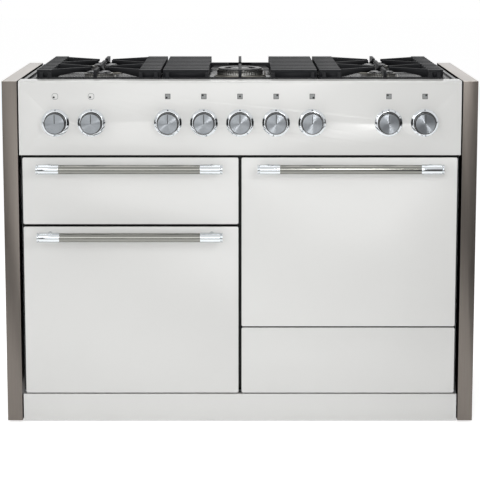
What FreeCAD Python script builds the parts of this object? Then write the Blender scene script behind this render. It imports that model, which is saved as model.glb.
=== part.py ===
import FreeCAD, Part
import math
import os

# A 120 cm dual fuel range cooker: gas hob, drop-down ovens, glide-out grill, storage drawer.
# Millimetres. X runs left to right, Y front to back, Z up. The origin is on the floor,
# in the middle of the overall width and of the overall depth with the handles.

os.makedirs("parts", exist_ok=True)
V = FreeCAD.Vector
X = V(1, 0, 0)
Y = V(0, 1, 0)
Z = V(0, 0, 1)

# Overall sizes
overall_width = 1200.0
body_depth = 600.0
rim_height = 884.0
support_rise = 22.0
handle_axis_reach = 50.0
handle_radius = 11.5

# Fits and sheet thicknesses
overrun = 2.0
seat_gap = 0.3
running_gap = 0.05
panel_gap = 3.5
skin = 1.5
liner_wall = 1.2
frame_wall = 2.0
return_depth = 10.0
tube_wall = 2.5

# Side panels, folded from stainless sheet
side_width = 38.0
floor_gap = 4.0

# Front layout, heights above the floor
plinth_top = 74.5
low_door_bottom = 78.0
grill_front_height = 170.5
door_gap = 7.0
drawer_top = 249.0
right_oven_bottom = 253.0
control_gap = 6.5
control_height = 188.0
door_inner_edge = 4.0
door_side_gap = 7.5
door_thickness = 38.0
door_corner = 4.0
door_edge_round = 1.2
seal_space = 4.0
seal_width = 9.0

# Control panel and hob
control_depth = 60.0
control_round = 7.0
hob_drop = 14.0
hob_rim = 9.0
hob_rim_drop = 4.0
tray_floor_below = 40.0

# Plinth and base
plinth_depth = 20.0
base_height = 30.0
base_bar = 40.0
base_setback = 46.0
base_side_gap = 0.3

# Feet and rollers
foot_radius = 20.0
foot_height = 12.0
foot_stem_radius = 5.0
foot_inset = 60.0
roller_radius = 20.0
roller_width = 26.0
roller_axle_radius = 4.0
roller_inset_x = 90.0
bracket_wall = 3.0

# Ovens, grill and drawer spaces
cavity_side_margin = 45.0
cavity_low_margin = 55.0
cavity_top_margin = 34.0
oven_rear_space = 126.0
grill_shorter = 10.0
grill_low_margin = 22.0
grill_top_margin = 20.0
rim_flange = 14.0
drawer_longer = 70.0
divider_width = 40.0

# Door hinges
pivot_from_front = 8.0
pivot_from_bottom = 12.0
hinge_inset = 32.0
arm_width = 6.0
arm_height = 9.0
arm_foot = 26.0
hinge_pin_radius = 2.5
cheek_gap = 0.5
cheek_wall = 3.0
plug_depth = 10.0
plug_gap = 8.0

# Bar handles
handle_end_margin = 39.5
handle_drop = 23.5
left_handle_drop = 19.0
collar_length = 57.0
collar_radius = 12.6
post_radius = 9.0

# Knobs, all on one line along the control panel
knob_above_edge = 82.0
knob_inner_pitch = 91.0
knob_outer_inset = 225.0
bezel_radius = 35.0
bezel_depth = 9.0
bezel_bore = 32.0
knob_radius = 27.0
knob_depth = 25.0
knob_stand_off = 2.0
knob_socket_depth = 17.0
spindle_radius = 4.0
spindle_bore_radius = 5.5
push_travel = 3.0
tap_body_width = 26.0
tap_body_depth = 46.0
tap_stand_back = 7.0
switch_width = 44.0
switch_depth = 30.0
spindle_in_body = 22.0
spindle_slack = 4.0

# Burners
burner_from_front = 190.0
burner_from_back = 170.0
wok_from_front = 310.0
small_bowl_radius = 50.0
small_head_radius = 38.0
small_cap_radius = 32.0
wok_bowl_radius = 70.0
wok_head_radius = 62.0
wok_ring_inner = 42.0
wok_cap_radius = 26.0
bowl_height = 5.0
head_height = 14.0
cap_height = 4.5
port_count = 12
port_width = 3.0
port_depth = 4.0
port_height = 6.0
electrode_radius = 2.5
electrode_height = 14.0
mixer_half = 12.0
mixer_drop = 20.0

# Pan supports
support_front = 62.0
support_back = 38.0
support_side_gap = 39.5
support_joint = 200.0
support_joint_gap = 6.0
outer_flank = 37.0
inner_flank = 55.0
centre_flank = 117.0
slat_count = 10
slat_share = 0.70
slat_height = 9.0
rail_width = 9.0
rail_height = 25.0
under_rail_drop = 7.0
cross_bar_width = 10.0
cross_bar_height = 7.0
prong_spread = 95.0
fin_width = 8.0
fin_root_height = 21.0
fin_tip_height = 7.0
fin_tip_radius = 26.0
wok_fin_tip_radius = 30.0
fin_clearance = 6.0
support_foot_inset = 16.0

# Shelves and fans
wire_half = 2.4
rack_levels = 4
shelf_rods = 9
shelf_gap = 6.0
rack_stand_off = 6.6
rack_height_share = 0.8
fan_tip_gap = 10.5
fan_hub_radius = 14.0
fan_blade_count = 8
fan_blade_wall = 1.5
fan_blade_width = 18.0
fan_shaft_radius = 4.0
fan_space = 34.0
fan_cover_wall = 1.2
fan_slot_count = 7
fan_slot_pitch = 16.0
fan_slot_length = 100.0
fan_slot_height = 7.0
motor_radius = 38.0
motor_length = 42.0
element_radius = 3.5
element_ring_share = 0.2493
element_sleeve = 5.0
element_bend = 12.0
grill_element_pitch = 52.0
grill_element_runs = 6

# Gas pipe and electric supply
manifold_radius = 8.0
manifold_wall = 1.2
elbow_half = 11.0
inlet_side_margin = 142.0
inlet_below_rim = 244.0
inlet_length = 26.0
inlet_radius = 10.5
terminal_height = 150.0
terminal_width = 130.0
terminal_depth = 45.0
terminal_tall = 90.0
gland_radius = 13.0
gland_bore = 8.0
gland_length = 16.0

# Back panel holes
louvre_count = 9
louvre_length = 260.0
louvre_height = 5.0
louvre_pitch = 16.0
louvre_low = 330.0
louvre_centre = 275.0
back_low = 60.0
splash_hole_radius = 2.6
splash_hole_spacing = 900.0
splash_hole_below = 18.0

# Drawer and grill runners
runner_height = 12.0
runner_depth_share = 0.9
runner_width = 10.0
runner_wall = 1.5
runner_slack = 0.5
grill_box_height = 60.0
tray_wall = 1.5
drawer_box_height = 120.0
carrier_inset = 3.0

# Worked out places
half_width = overall_width / 2
collar_projection = handle_axis_reach + collar_radius
front = -(body_depth + collar_projection) / 2 + collar_projection
back = front + body_depth
inner_half = half_width - side_width
panel_half = inner_half - panel_gap
door_back = front + door_thickness
frame_front = door_back + seal_space
frame_back = frame_front + frame_wall
support_top = rim_height + support_rise
tray_floor = rim_height - hob_drop
hob_front = front + control_depth + seat_gap
oven_back = back - oven_rear_space
oven_depth = oven_back - frame_back
grill_depth = oven_depth - grill_shorter
drawer_depth = oven_depth + drawer_longer
door_outer_edge = panel_half - door_side_gap
handle_length = door_outer_edge - door_inner_edge - handle_end_margin * 2
control_bottom = rim_height - control_height
door_top = control_bottom - control_gap
grill_bottom = door_top - grill_front_height
left_oven_top = grill_bottom - door_gap
knob_height = control_bottom + knob_above_edge
knob_outer_place = half_width - knob_outer_inset
oven_tall = left_oven_top - low_door_bottom - cavity_low_margin - cavity_top_margin
element_ring = oven_tall * element_ring_share
fan_radius = element_ring - element_radius - fan_tip_gap
inlet_x = inner_half - inlet_side_margin
terminal_x = -inlet_x
inlet_height = rim_height - inlet_below_rim
support_outer = panel_half - support_side_gap
side_space_low = support_joint + support_joint_gap / 2 + inner_flank
side_burner_x = (side_space_low + support_outer - outer_flank) / 2
knob_places = [0.0]
for side in (-1, 1):
    knob_places += [side * knob_inner_pitch, side * 2 * knob_inner_pitch]
    knob_places += [side * knob_outer_place, side * (knob_outer_place + knob_inner_pitch)]
knob_places.sort()
gas_places = knob_places[2:7]
oven_places = knob_places[:2] + knob_places[7:]
burner_front_y = front + burner_from_front
burner_back_y = back - burner_from_back
wok_y = front + wok_from_front


def save(name, *shapes):
    """Write one node; several loose solids stay separate in one compound."""
    solids = []
    for shape in shapes:
        solids += shape.Solids
    whole = solids[0] if len(solids) == 1 else Part.makeCompound(solids)
    whole.exportStep("parts/" + name + ".step")
    print(name, len(solids), "solids", round(sum(s.Volume for s in solids) / 1000.0, 1), "cm3")


def block(x0, x1, y0, y1, z0, z1):
    return Part.makeBox(x1 - x0, y1 - y0, z1 - z0, V(x0, y0, z0))


def rod(radius, start, end):
    run = end - start
    return Part.makeCylinder(radius, run.Length, start, run)


def bar(half, start, end):
    """Square bar between two points on one axis, with its ends at the points."""
    low = V(min(start.x, end.x), min(start.y, end.y), min(start.z, end.z))
    high = V(max(start.x, end.x), max(start.y, end.y), max(start.z, end.z))
    side = high - low
    grow = [half if length < half / 2 else 0 for length in (side.x, side.y, side.z)]
    return block(low.x - grow[0], high.x + grow[0], low.y - grow[1], high.y + grow[1],
                 low.z - grow[2], high.z + grow[2])


def fuse(shapes):
    whole = shapes[0].fuse(shapes[1:]) if len(shapes) > 1 else shapes[0]
    return whole.removeSplitter()


def cut(shape, tools):
    return shape.cut(tools) if tools else shape


def bent_bar(half, corners, bend):
    """Square bar along straight level runs, joined by tangent arcs of one bend radius."""
    edges = []
    start = corners[0]
    for before, corner, after in zip(corners, corners[1:], corners[2:]):
        inward = (before - corner).normalize()
        outward = (after - corner).normalize()
        turn = math.pi - inward.getAngle(outward)
        reach = bend * math.tan(turn / 2)
        first = corner + inward * reach
        last = corner + outward * reach
        to_centre = (inward + outward).normalize()
        middle = corner + to_centre * (bend / math.cos(turn / 2) - bend)
        edges.append(Part.LineSegment(start, first).toShape())
        edges.append(Part.Arc(first, middle, last).toShape())
        start = last
    edges.append(Part.LineSegment(start, corners[-1]).toShape())
    side = (corners[1] - corners[0]).cross(Z).normalize() * half
    up = Z * half
    first = corners[0]
    ring = [first + side + up, first - side + up, first - side - up, first + side - up]
    section = Part.makePolygon(ring + ring[:1])
    return Part.Wire(edges).makePipeShell([section], True, False)


def turned_y(points, centre):
    """Solid of revolution about a line along Y; points are (radius, distance along Y)."""
    corners = [V(centre.x + r, centre.y + d, centre.z) for r, d in points]
    face = Part.Face(Part.makePolygon(corners + corners[:1]))
    return face.revolve(centre, Y, 360)


def turned_z(points, centre):
    """Solid of revolution about a vertical line; points are (radius, height)."""
    corners = [V(centre.x + r, centre.y, centre.z + h) for r, h in points]
    face = Part.Face(Part.makePolygon(corners + corners[:1]))
    return face.revolve(centre, Z, 360)


def edges_along(shape, direction, test):
    """Straight edges that run along one axis and whose middle passes the test."""
    found = []
    for edge in shape.Edges:
        if not isinstance(edge.Curve, Part.Line):
            continue
        if abs(edge.tangentAt(edge.FirstParameter).dot(direction)) < 0.999:
            continue
        if test(edge.CenterOfMass):
            found.append(edge)
    return found


def front_panel(x0, x1, z0, z1):
    """Pressed enamel front: a tray open to the back, rounded at corners and edges."""
    outer = block(x0, x1, front, door_back - frame_wall, z0, z1)
    outer = outer.makeFillet(door_corner, edges_along(outer, Y, lambda c: True))
    inner = block(x0 + skin, x1 - skin, front + skin, door_back, z0 + skin, z1 - skin)
    return outer.cut(inner)


def handle(x_middle, z_height):
    """Round bar with two collars, each on one post that stands on the door front."""
    y = front - handle_axis_reach
    half = handle_length / 2
    bar_half = half - collar_length
    bar = rod(handle_radius, V(x_middle - bar_half, y, z_height), V(x_middle + bar_half, y, z_height))
    solids = [bar]
    for side in (-1, 1):
        inner_x = x_middle + side * bar_half
        outer_x = x_middle + side * half
        collar = rod(collar_radius, V(inner_x, y, z_height), V(outer_x, y, z_height))
        post_x = x_middle + side * (half - collar_length / 2)
        post = rod(post_radius, V(post_x, y, z_height), V(post_x, front, z_height))
        solids.append(fuse([collar, post]))
    return solids


def hinge_places(x0, x1):
    return [x0 + hinge_inset, x1 - hinge_inset]


def hinge_slots(x0, x1, z0):
    """Slots for the fixed arms, open to the back and to the bottom of the door."""
    slots = []
    pivot_y = front + pivot_from_front
    top = z0 + pivot_from_bottom + arm_height
    for x in hinge_places(x0, x1):
        half = arm_width / 2 + cheek_gap
        slots.append(block(x - half, x + half, pivot_y - arm_height / 2 - cheek_gap,
                           door_back + plug_depth, z0 - overrun, top))
    return slots


def door_liner(x0, x1, z0, z1, low_margin, top_margin):
    """Inner door panel with its pressed plug, and the cheeks that hold the hinge pins."""
    plate = block(x0 + skin + seat_gap, x1 - skin - seat_gap, door_back - frame_wall, door_back,
                  z0 + skin + seat_gap, z1 - skin - seat_gap)
    gap = plug_gap + liner_wall
    plug = block(x0 + cavity_side_margin + gap, x1 - cavity_side_margin - gap, door_back - frame_wall,
                 door_back + plug_depth, z0 + low_margin + gap, z1 - top_margin - gap)
    hollow = block(x0 + cavity_side_margin + gap + skin, x1 - cavity_side_margin - gap - skin,
                   door_back - frame_wall - overrun, door_back + plug_depth - skin,
                   z0 + low_margin + gap + skin, z1 - top_margin - gap - skin)
    shape = fuse([plate, plug]).cut(hollow)
    pivot = V(0, front + pivot_from_front, z0 + pivot_from_bottom)
    cheeks = []
    for x in hinge_places(x0, x1):
        for side in (-1, 1):
            inner_x = x + side * (arm_width / 2 + cheek_gap)
            outer_x = inner_x + side * cheek_wall
            cheeks.append(block(min(inner_x, outer_x), max(inner_x, outer_x), front + skin + seat_gap,
                                door_back, z0 + skin + seat_gap, z0 + pivot_from_bottom * 2))
    shape = fuse([shape] + cheeks)
    tools = hinge_slots(x0, x1, z0)
    for x in hinge_places(x0, x1):
        reach = arm_width / 2 + cheek_gap + cheek_wall + overrun
        tools.append(rod(hinge_pin_radius + running_gap, V(x - reach, pivot.y, pivot.z),
                         V(x + reach, pivot.y, pivot.z)))
    return cut(shape, tools)


def hinge_arms(x0, x1, z0):
    """Arms fixed to the front frame that reach the pivot pins inside the door."""
    arms = []
    y = front + pivot_from_front
    z = z0 + pivot_from_bottom
    for x in hinge_places(x0, x1):
        half = arm_width / 2
        low = z - arm_height / 2
        arm = block(x - half, x + half, y - arm_height / 2, frame_front, low, low + arm_height)
        foot = block(x - half, x + half, frame_front - frame_wall, frame_front, low, low + arm_foot)
        reach = half + cheek_gap + cheek_wall - seat_gap
        pin = rod(hinge_pin_radius, V(x - reach, y, z), V(x + reach, y, z))
        arms.append(fuse([arm, foot, pin]))
    return arms


def cavity(x0, x1, z0, z1, low_margin, top_margin):
    return (x0 + cavity_side_margin, x1 - cavity_side_margin, z0 + low_margin, z1 - top_margin)


left_span = (-door_outer_edge, -door_inner_edge)
right_span = (door_inner_edge, door_outer_edge)
left_cavity = cavity(*left_span, low_door_bottom, left_oven_top, cavity_low_margin, cavity_top_margin)
right_cavity = cavity(*right_span, right_oven_bottom, door_top, cavity_low_margin, cavity_top_margin)
grill_cavity = cavity(*left_span, grill_bottom, door_top, grill_low_margin, grill_top_margin)
drawer_cavity = cavity(*right_span, low_door_bottom, drawer_top, grill_low_margin, grill_top_margin)


def liner(space, depth):
    """Folded and welded box, open to the front, with a flange round its mouth."""
    x0, x1, z0, z1 = space
    w = liner_wall
    shell = block(x0 - w, x1 + w, frame_back, frame_back + depth + w, z0 - w, z1 + w)
    flange = block(x0 - rim_flange, x1 + rim_flange, frame_back, frame_back + w, z0 - rim_flange,
                   z1 + rim_flange)
    inside = block(x0, x1, frame_back - overrun, frame_back + depth, z0, z1)
    return fuse([shell, flange]).cut(inside)


def side_panels():
    for side, name in ((-1, "side_panel_left"), (1, "side_panel_right")):
        x0 = min(side * inner_half, side * half_width)
        x1 = max(side * inner_half, side * half_width)
        shell = block(x0, x1, front, back, floor_gap, rim_height)
        shell = shell.makeFillet(skin, edges_along(shell, Y, lambda c: side * c.x > half_width - skin))
        inside = block(x0 + skin - (skin + overrun) * (side > 0), x1 - skin + (skin + overrun) * (side < 0),
                       front + skin, back - skin, floor_gap + skin, rim_height - skin)
        save(name, shell.cut(inside))


def chassis():
    """Welded base ring with rear roller brackets, the middle divider and the upper cross bars."""
    x1 = inner_half - base_side_gap
    y0 = front + base_setback
    y1 = back - skin - seat_gap
    z1 = plinth_top
    z0 = z1 - base_height
    axle_y = y1 - base_bar / 2
    ring = block(-x1, x1, y0, y1, z0, z1).cut(block(-x1 + base_bar, x1 - base_bar, y0 + base_bar,
                                                    y1 - base_bar, z0 - overrun, z1 + overrun))
    pieces = [ring]
    half = divider_width / 2
    wall = block(-half, half, frame_back, y1, z0, control_bottom - overrun)
    pieces.append(wall.cut(block(-half + tube_wall, half - tube_wall, frame_back + tube_wall, y1 + overrun,
                                 z0 + tube_wall, control_bottom)))
    for side in (-1, 1):
        x = side * x1
        for y in (hob_front, y1 - base_bar):
            pieces.append(block(min(x, x - side * tube_wall), max(x, x - side * tube_wall), y, y + base_bar,
                                z1 - overrun, tray_floor - skin - seat_gap))
        axle_x = side * (x1 - roller_inset_x)
        for ear in (-1, 1):
            near = axle_x + ear * (roller_width / 2 + running_gap + seat_gap)
            far = near + ear * bracket_wall
            pieces.append(block(min(near, far), max(near, far), axle_y - roller_radius / 2,
                                axle_y + roller_radius / 2,
                                roller_radius - roller_axle_radius * 2, z0 + overrun))
    pieces.append(block(-x1, x1, y1 - tube_wall, y1, tray_floor - tray_floor_below - base_bar,
                        tray_floor - tray_floor_below))
    tools = []
    for side in (-1, 1):
        axle_x = side * (x1 - roller_inset_x)
        reach = roller_width / 2 + bracket_wall + overrun
        tools.append(rod(roller_axle_radius + running_gap, V(axle_x - reach, axle_y, roller_radius),
                         V(axle_x + reach, axle_y, roller_radius)))
        foot_x = side * (x1 - foot_inset)
        tools.append(rod(foot_stem_radius + seat_gap, V(foot_x, y0 + base_bar / 2, z0 - overrun),
                         V(foot_x, y0 + base_bar / 2, z1 + overrun)))
    save("chassis", cut(fuse(pieces), tools))
    for side, name in ((-1, "rear_roller_left"), (1, "rear_roller_right")):
        axle_x = side * (x1 - roller_inset_x)
        wheel = rod(roller_radius, V(axle_x - roller_width / 2, axle_y, roller_radius),
                    V(axle_x + roller_width / 2, axle_y, roller_radius))
        reach = roller_width / 2 + bracket_wall + seat_gap
        axle = rod(roller_axle_radius, V(axle_x - reach, axle_y, roller_radius),
                   V(axle_x + reach, axle_y, roller_radius))
        save(name, fuse([wheel, axle]))
    feet = []
    for side in (-1, 1):
        foot_x = side * (x1 - foot_inset)
        pad = Part.makeCylinder(foot_radius, foot_height, V(foot_x, y0 + base_bar / 2, 0))
        stem = Part.makeCylinder(foot_stem_radius, z1 - overrun, V(foot_x, y0 + base_bar / 2, 0))
        feet.append(fuse([pad, stem]))
    save("front_feet", *feet)


def back_panel():
    sheet = block(-panel_half, panel_half, back - skin, back, back_low,
                  rim_height - hob_rim_drop - splash_hole_below * 2)
    tools = []
    for side in (-1, 1):
        for i in range(louvre_count):
            z = louvre_low + i * louvre_pitch
            x = side * louvre_centre
            tools.append(block(x - louvre_length / 2, x + louvre_length / 2, back - skin - overrun,
                               back + overrun, z, z + louvre_height))
    tools.append(rod(inlet_radius + panel_gap, V(inlet_x, back - skin - overrun, inlet_height),
                     V(inlet_x, back + overrun, inlet_height)))
    tools.append(rod(gland_radius + seat_gap, V(terminal_x, back - skin - overrun, terminal_height),
                     V(terminal_x, back + overrun, terminal_height)))
    save("back_panel", cut(sheet, tools))


def front_frame():
    sheet = block(-panel_half, panel_half, frame_front, frame_back, plinth_top + seat_gap, control_bottom)
    tools = []
    for x0, x1, z0, z1 in (left_cavity, right_cavity, grill_cavity, drawer_cavity):
        tools.append(block(x0, x1, frame_front - overrun, frame_back + overrun, z0, z1))
    sheet = cut(sheet, tools)
    edges = []
    for side in (-1, 1):
        near = side * (divider_width / 2 + seat_gap)
        far = side * panel_half
        for z in (plinth_top + seat_gap, control_bottom - frame_wall):
            edges.append(block(min(near, far), max(near, far), frame_back, frame_back + return_depth, z,
                               z + frame_wall))
    save("front_frame", fuse([sheet] + edges))


def control_panel():
    z0 = control_bottom
    shell = block(-panel_half, panel_half, front, front + control_depth, z0, rim_height)
    top_edge = edges_along(shell, X, lambda c: c.y < front + overrun and c.z > rim_height - overrun)
    shell = shell.makeFillet(control_round, top_edge)
    hollow = block(-panel_half + skin, panel_half - skin, front + skin, front + control_depth + overrun,
                   z0 + skin, rim_height - skin)
    inner_edge = edges_along(hollow, X,
                             lambda c: c.y < front + skin + overrun and c.z > rim_height - skin - overrun)
    hollow = hollow.makeFillet(control_round - skin, inner_edge)
    tools = [hollow]
    for x in knob_places:
        tools.append(rod(spindle_bore_radius, V(x, front - overrun, knob_height),
                         V(x, front + skin + overrun, knob_height)))
    save("control_panel", cut(shell, tools))


def hob_tray():
    z1 = rim_height - hob_rim_drop
    outer = block(-panel_half, panel_half, hob_front, back, tray_floor - skin, z1)
    recess = block(-panel_half + hob_rim, panel_half - hob_rim, hob_front + hob_rim, back - hob_rim,
                   tray_floor, z1 + overrun)
    recess = recess.makeFillet(hob_rim, edges_along(recess, Z, lambda c: True))
    skirt = block(-panel_half, panel_half, back - skin, back, z1 - splash_hole_below * 2, z1)
    shell = fuse([outer, skirt]).cut(recess)
    rim_under = block(-panel_half + skin, panel_half - skin, hob_front + skin, back - skin,
                      tray_floor - skin - overrun, z1 - skin)
    wall_half = panel_half - hob_rim + skin
    rim_under = rim_under.cut(block(-wall_half, wall_half, hob_front + hob_rim - skin,
                                    back - hob_rim + skin, tray_floor - tray_floor_below, z1))
    shell = cut(shell, [rim_under])
    tools = []
    for x, y in [row[:2] for row in burner_table()]:
        tools.append(bar(mixer_half, V(x, y, tray_floor - mixer_drop), V(x, y, tray_floor + overrun)))
    for side in (-1, 1):
        x = side * splash_hole_spacing / 2
        z = z1 - splash_hole_below
        tools.append(rod(splash_hole_radius, V(x, back - skin - overrun, z), V(x, back + overrun, z)))
    save("hob_tray", cut(shell, tools))


def plinth():
    shell = block(-panel_half, panel_half, front, front + plinth_depth, floor_gap, plinth_top)
    top = edges_along(shell, X, lambda c: c.y < front + overrun)
    shell = shell.makeFillet(door_edge_round, top)
    hollow = block(-panel_half + skin, panel_half - skin, front + skin, front + plinth_depth + overrun,
                   floor_gap + skin, plinth_top - skin)
    clips = []
    for side in (-1, 1):
        x = side * panel_half / 2
        clips.append(block(x - base_bar / 2, x + base_bar / 2, front + plinth_depth - skin,
                           front + base_setback,
                           plinth_top - base_height, plinth_top - base_height + skin * 2))
        clips.append(block(x - base_bar / 2, x + base_bar / 2, front + plinth_depth - skin,
                           front + plinth_depth,
                           floor_gap, plinth_top))
    save("plinth", fuse([shell.cut(hollow)] + clips))


def burner_table():
    """Centre and bowl radius of the five burners."""
    table = [(0.0, wok_y, wok_bowl_radius)]
    for side in (-1, 1):
        for y in (burner_front_y, burner_back_y):
            table.append((side * side_burner_x, y, small_bowl_radius))
    return table


def burners():
    bowls = []
    heads = []
    caps = []
    for x, y, bowl in burner_table():
        wok = bowl > small_bowl_radius
        head = wok_head_radius if wok else small_head_radius
        base = V(x, y, tray_floor)
        lip = bowl_height / 2
        disc = turned_z([(0, 0), (bowl, 0), (head + lip, bowl_height), (0, bowl_height)], base)
        disc.rotate(base, Z, 90.0)
        tube = bar(mixer_half - seat_gap, base - V(0, 0, mixer_drop), base)
        stud = bar(electrode_radius, base + V(head + electrode_radius * 2, 0, 0),
                   base + V(head + electrode_radius * 2, 0, electrode_height))
        bowls.append(fuse([disc, tube, stud]))
        top = bowl_height + head_height
        ring_base = V(x, y, tray_floor + bowl_height)
        if wok:
            ring = hollow_disc(wok_ring_inner, head, head_height, ring_base)
            heads.append(ring.cut(ports(x, y, head, ring_base.z)))
            caps.append(hollow_disc(wok_ring_inner, head - lip, cap_height, V(x, y, tray_floor + top)))
            head = wok_cap_radius + lip
        body = Part.makeCylinder(head, head_height, ring_base)
        heads.append(body.cut(ports(x, y, head, ring_base.z)))
        radius = wok_cap_radius if wok else small_cap_radius
        caps.append(Part.makeCylinder(radius, cap_height, V(x, y, tray_floor + top)))
    save("burner_bowls", *bowls)
    save("burner_heads", *heads)
    save("burner_caps", *caps)


def hollow_disc(inner, outer, height, base):
    return Part.makeCylinder(outer, height, base).cut(Part.makeCylinder(inner, height, base))


def ports(x, y, radius, z):
    """Flame ports, evenly spaced round the rim of a burner head."""
    cuts = []
    for i in range(port_count):
        slot = block(radius - port_depth, radius + overrun, -port_width / 2, port_width / 2, 0, port_height)
        slot.rotate(V(0, 0, 0), Z, 360.0 * i / port_count)
        slot.translate(V(x, y, z + port_height / 2))
        cuts.append(slot)
    return Part.makeCompound(cuts)


def flank(outer_x, inner_x, y0, y1):
    """Row of cross slats on two lower rails; the end slats are as deep as the rails."""
    pitch = (y1 - y0 - cross_bar_width) / slat_count
    width = pitch * slat_share
    solids = []
    for i in range(slat_count):
        middle = y0 + cross_bar_width / 2 + pitch * (i + 1 / 2)
        height = rail_height if i in (0, slat_count - 1) else slat_height
        solids.append(block(min(outer_x, inner_x), max(outer_x, inner_x), middle - width / 2,
                            middle + width / 2,
                            support_top - height, support_top))
    side = 1 if inner_x > outer_x else -1
    for near in (outer_x + side * under_rail_drop, inner_x - side * rail_width):
        far = near + side * rail_width
        solids.append(block(min(near, far), max(near, far), y0, y1, support_top - rail_height,
                            support_top - under_rail_drop))
    return solids


def fin(root, tip, centre, clear_radius):
    """Tapered prong from a flank or a cross bar to a burner: deep at its root, thin over the burner."""
    along = tip - root
    side = along.cross(Z).normalize() * (fin_width / 2)
    outward = (root - tip).normalize()
    knee = centre + outward * clear_radius
    corners = [root, tip, tip - V(0, 0, fin_tip_height), knee - V(0, 0, fin_tip_height),
               root - V(0, 0, fin_root_height)]
    start = [c - side for c in corners]
    face = Part.Face(Part.makePolygon(start + start[:1]))
    return face.extrude(side * 2)


def pan_support(name, x0, x1, flank_low, flank_high, burners_y, side_shifts, tip, clear_radius):
    """Cast iron grating: two slatted flanks, low cross bars, and prongs that reach over each burner."""
    y0 = front + support_front
    y1 = back - support_back
    low_x = x0 + flank_low
    high_x = x1 - flank_high
    burner_x = (low_x + high_x) / 2
    pieces = flank(x0, low_x, y0, y1) + flank(x1, high_x, y0, y1)
    bars = [y0, y1 - cross_bar_width]
    if len(burners_y) > 1:
        bars.append((burners_y[0] + burners_y[1] - cross_bar_width) / 2)
    for y in bars:
        ends = (x0, x1) if y in bars[:2] else (low_x - rail_width, high_x + rail_width)
        low = support_top - rail_height
        pieces.append(block(ends[0], ends[1], y, y + cross_bar_width, low, low + cross_bar_height))
    lap = rail_width / 2
    for y in burners_y:
        below = max(b for b in bars if b < y) + cross_bar_width
        above = min(b for b in bars if b > y)
        centre = V(burner_x, y, support_top)
        roots = [V(burner_x, below - lap, support_top), V(burner_x, above + lap, support_top)]
        for shift in side_shifts:
            roots += [V(low_x - lap, y + shift, support_top), V(high_x + lap, y + shift, support_top)]
        for root in roots:
            inward = (centre - root).normalize()
            pieces.append(fin(root, centre - inward * tip, centre, clear_radius))
    inset = under_rail_drop + rail_width / 2
    for x in (x0 + inset, x1 - inset):
        for y in (y0 + support_foot_inset, y1 - support_foot_inset):
            foot_low = tray_floor + seat_gap / 2
            half = rail_width / 2
            pieces.append(block(x - half, x + half, y - half, y + half, foot_low,
                                support_top - rail_height + overrun))
    save(name, fuse(pieces))


def pan_supports():
    gap = support_joint_gap / 2
    side_burners = [burner_front_y, burner_back_y]
    spread = [-prong_spread, prong_spread]
    pan_support("pan_support_left", -support_outer, -support_joint - gap, outer_flank, inner_flank,
                side_burners, spread, fin_tip_radius, small_head_radius + fin_clearance)
    pan_support("pan_support_centre", -support_joint + gap, support_joint - gap, centre_flank, centre_flank,
                [wok_y], [0.0], wok_fin_tip_radius, wok_head_radius + fin_clearance)
    pan_support("pan_support_right", support_joint + gap, support_outer, inner_flank, outer_flank,
                side_burners, spread, fin_tip_radius, small_head_radius + fin_clearance)


def knobs():
    bezels = []
    for x in knob_places:
        centre = V(x, front, knob_height)
        bezels.append(turned_y([(bezel_bore, 0), (bezel_radius, 0), (bezel_bore, -bezel_depth)], centre))
    save("knob_bezels", *bezels)
    for number, x in enumerate(knob_places, 1):
        gas = x in gas_places
        lift = knob_stand_off + push_travel if gas else knob_stand_off
        centre = V(x, front - lift, knob_height)
        body = rod(knob_radius, centre, centre - V(0, knob_depth, 0))
        socket = rod(spindle_radius + running_gap, centre + V(0, overrun, 0), centre - V(0,
                knob_socket_depth, 0))
        kind = "gas_knob_" if gas else "oven_knob_"
        save(kind + str(number), body.cut(socket))
        if gas:
            inner_end = front + tap_stand_back + spindle_in_body - spindle_slack - push_travel
            stem = rod(spindle_radius, centre - V(0, knob_socket_depth - seat_gap, 0),
                       V(x, inner_end, knob_height))
            save("tap_spindle_" + str(number), stem)


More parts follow.
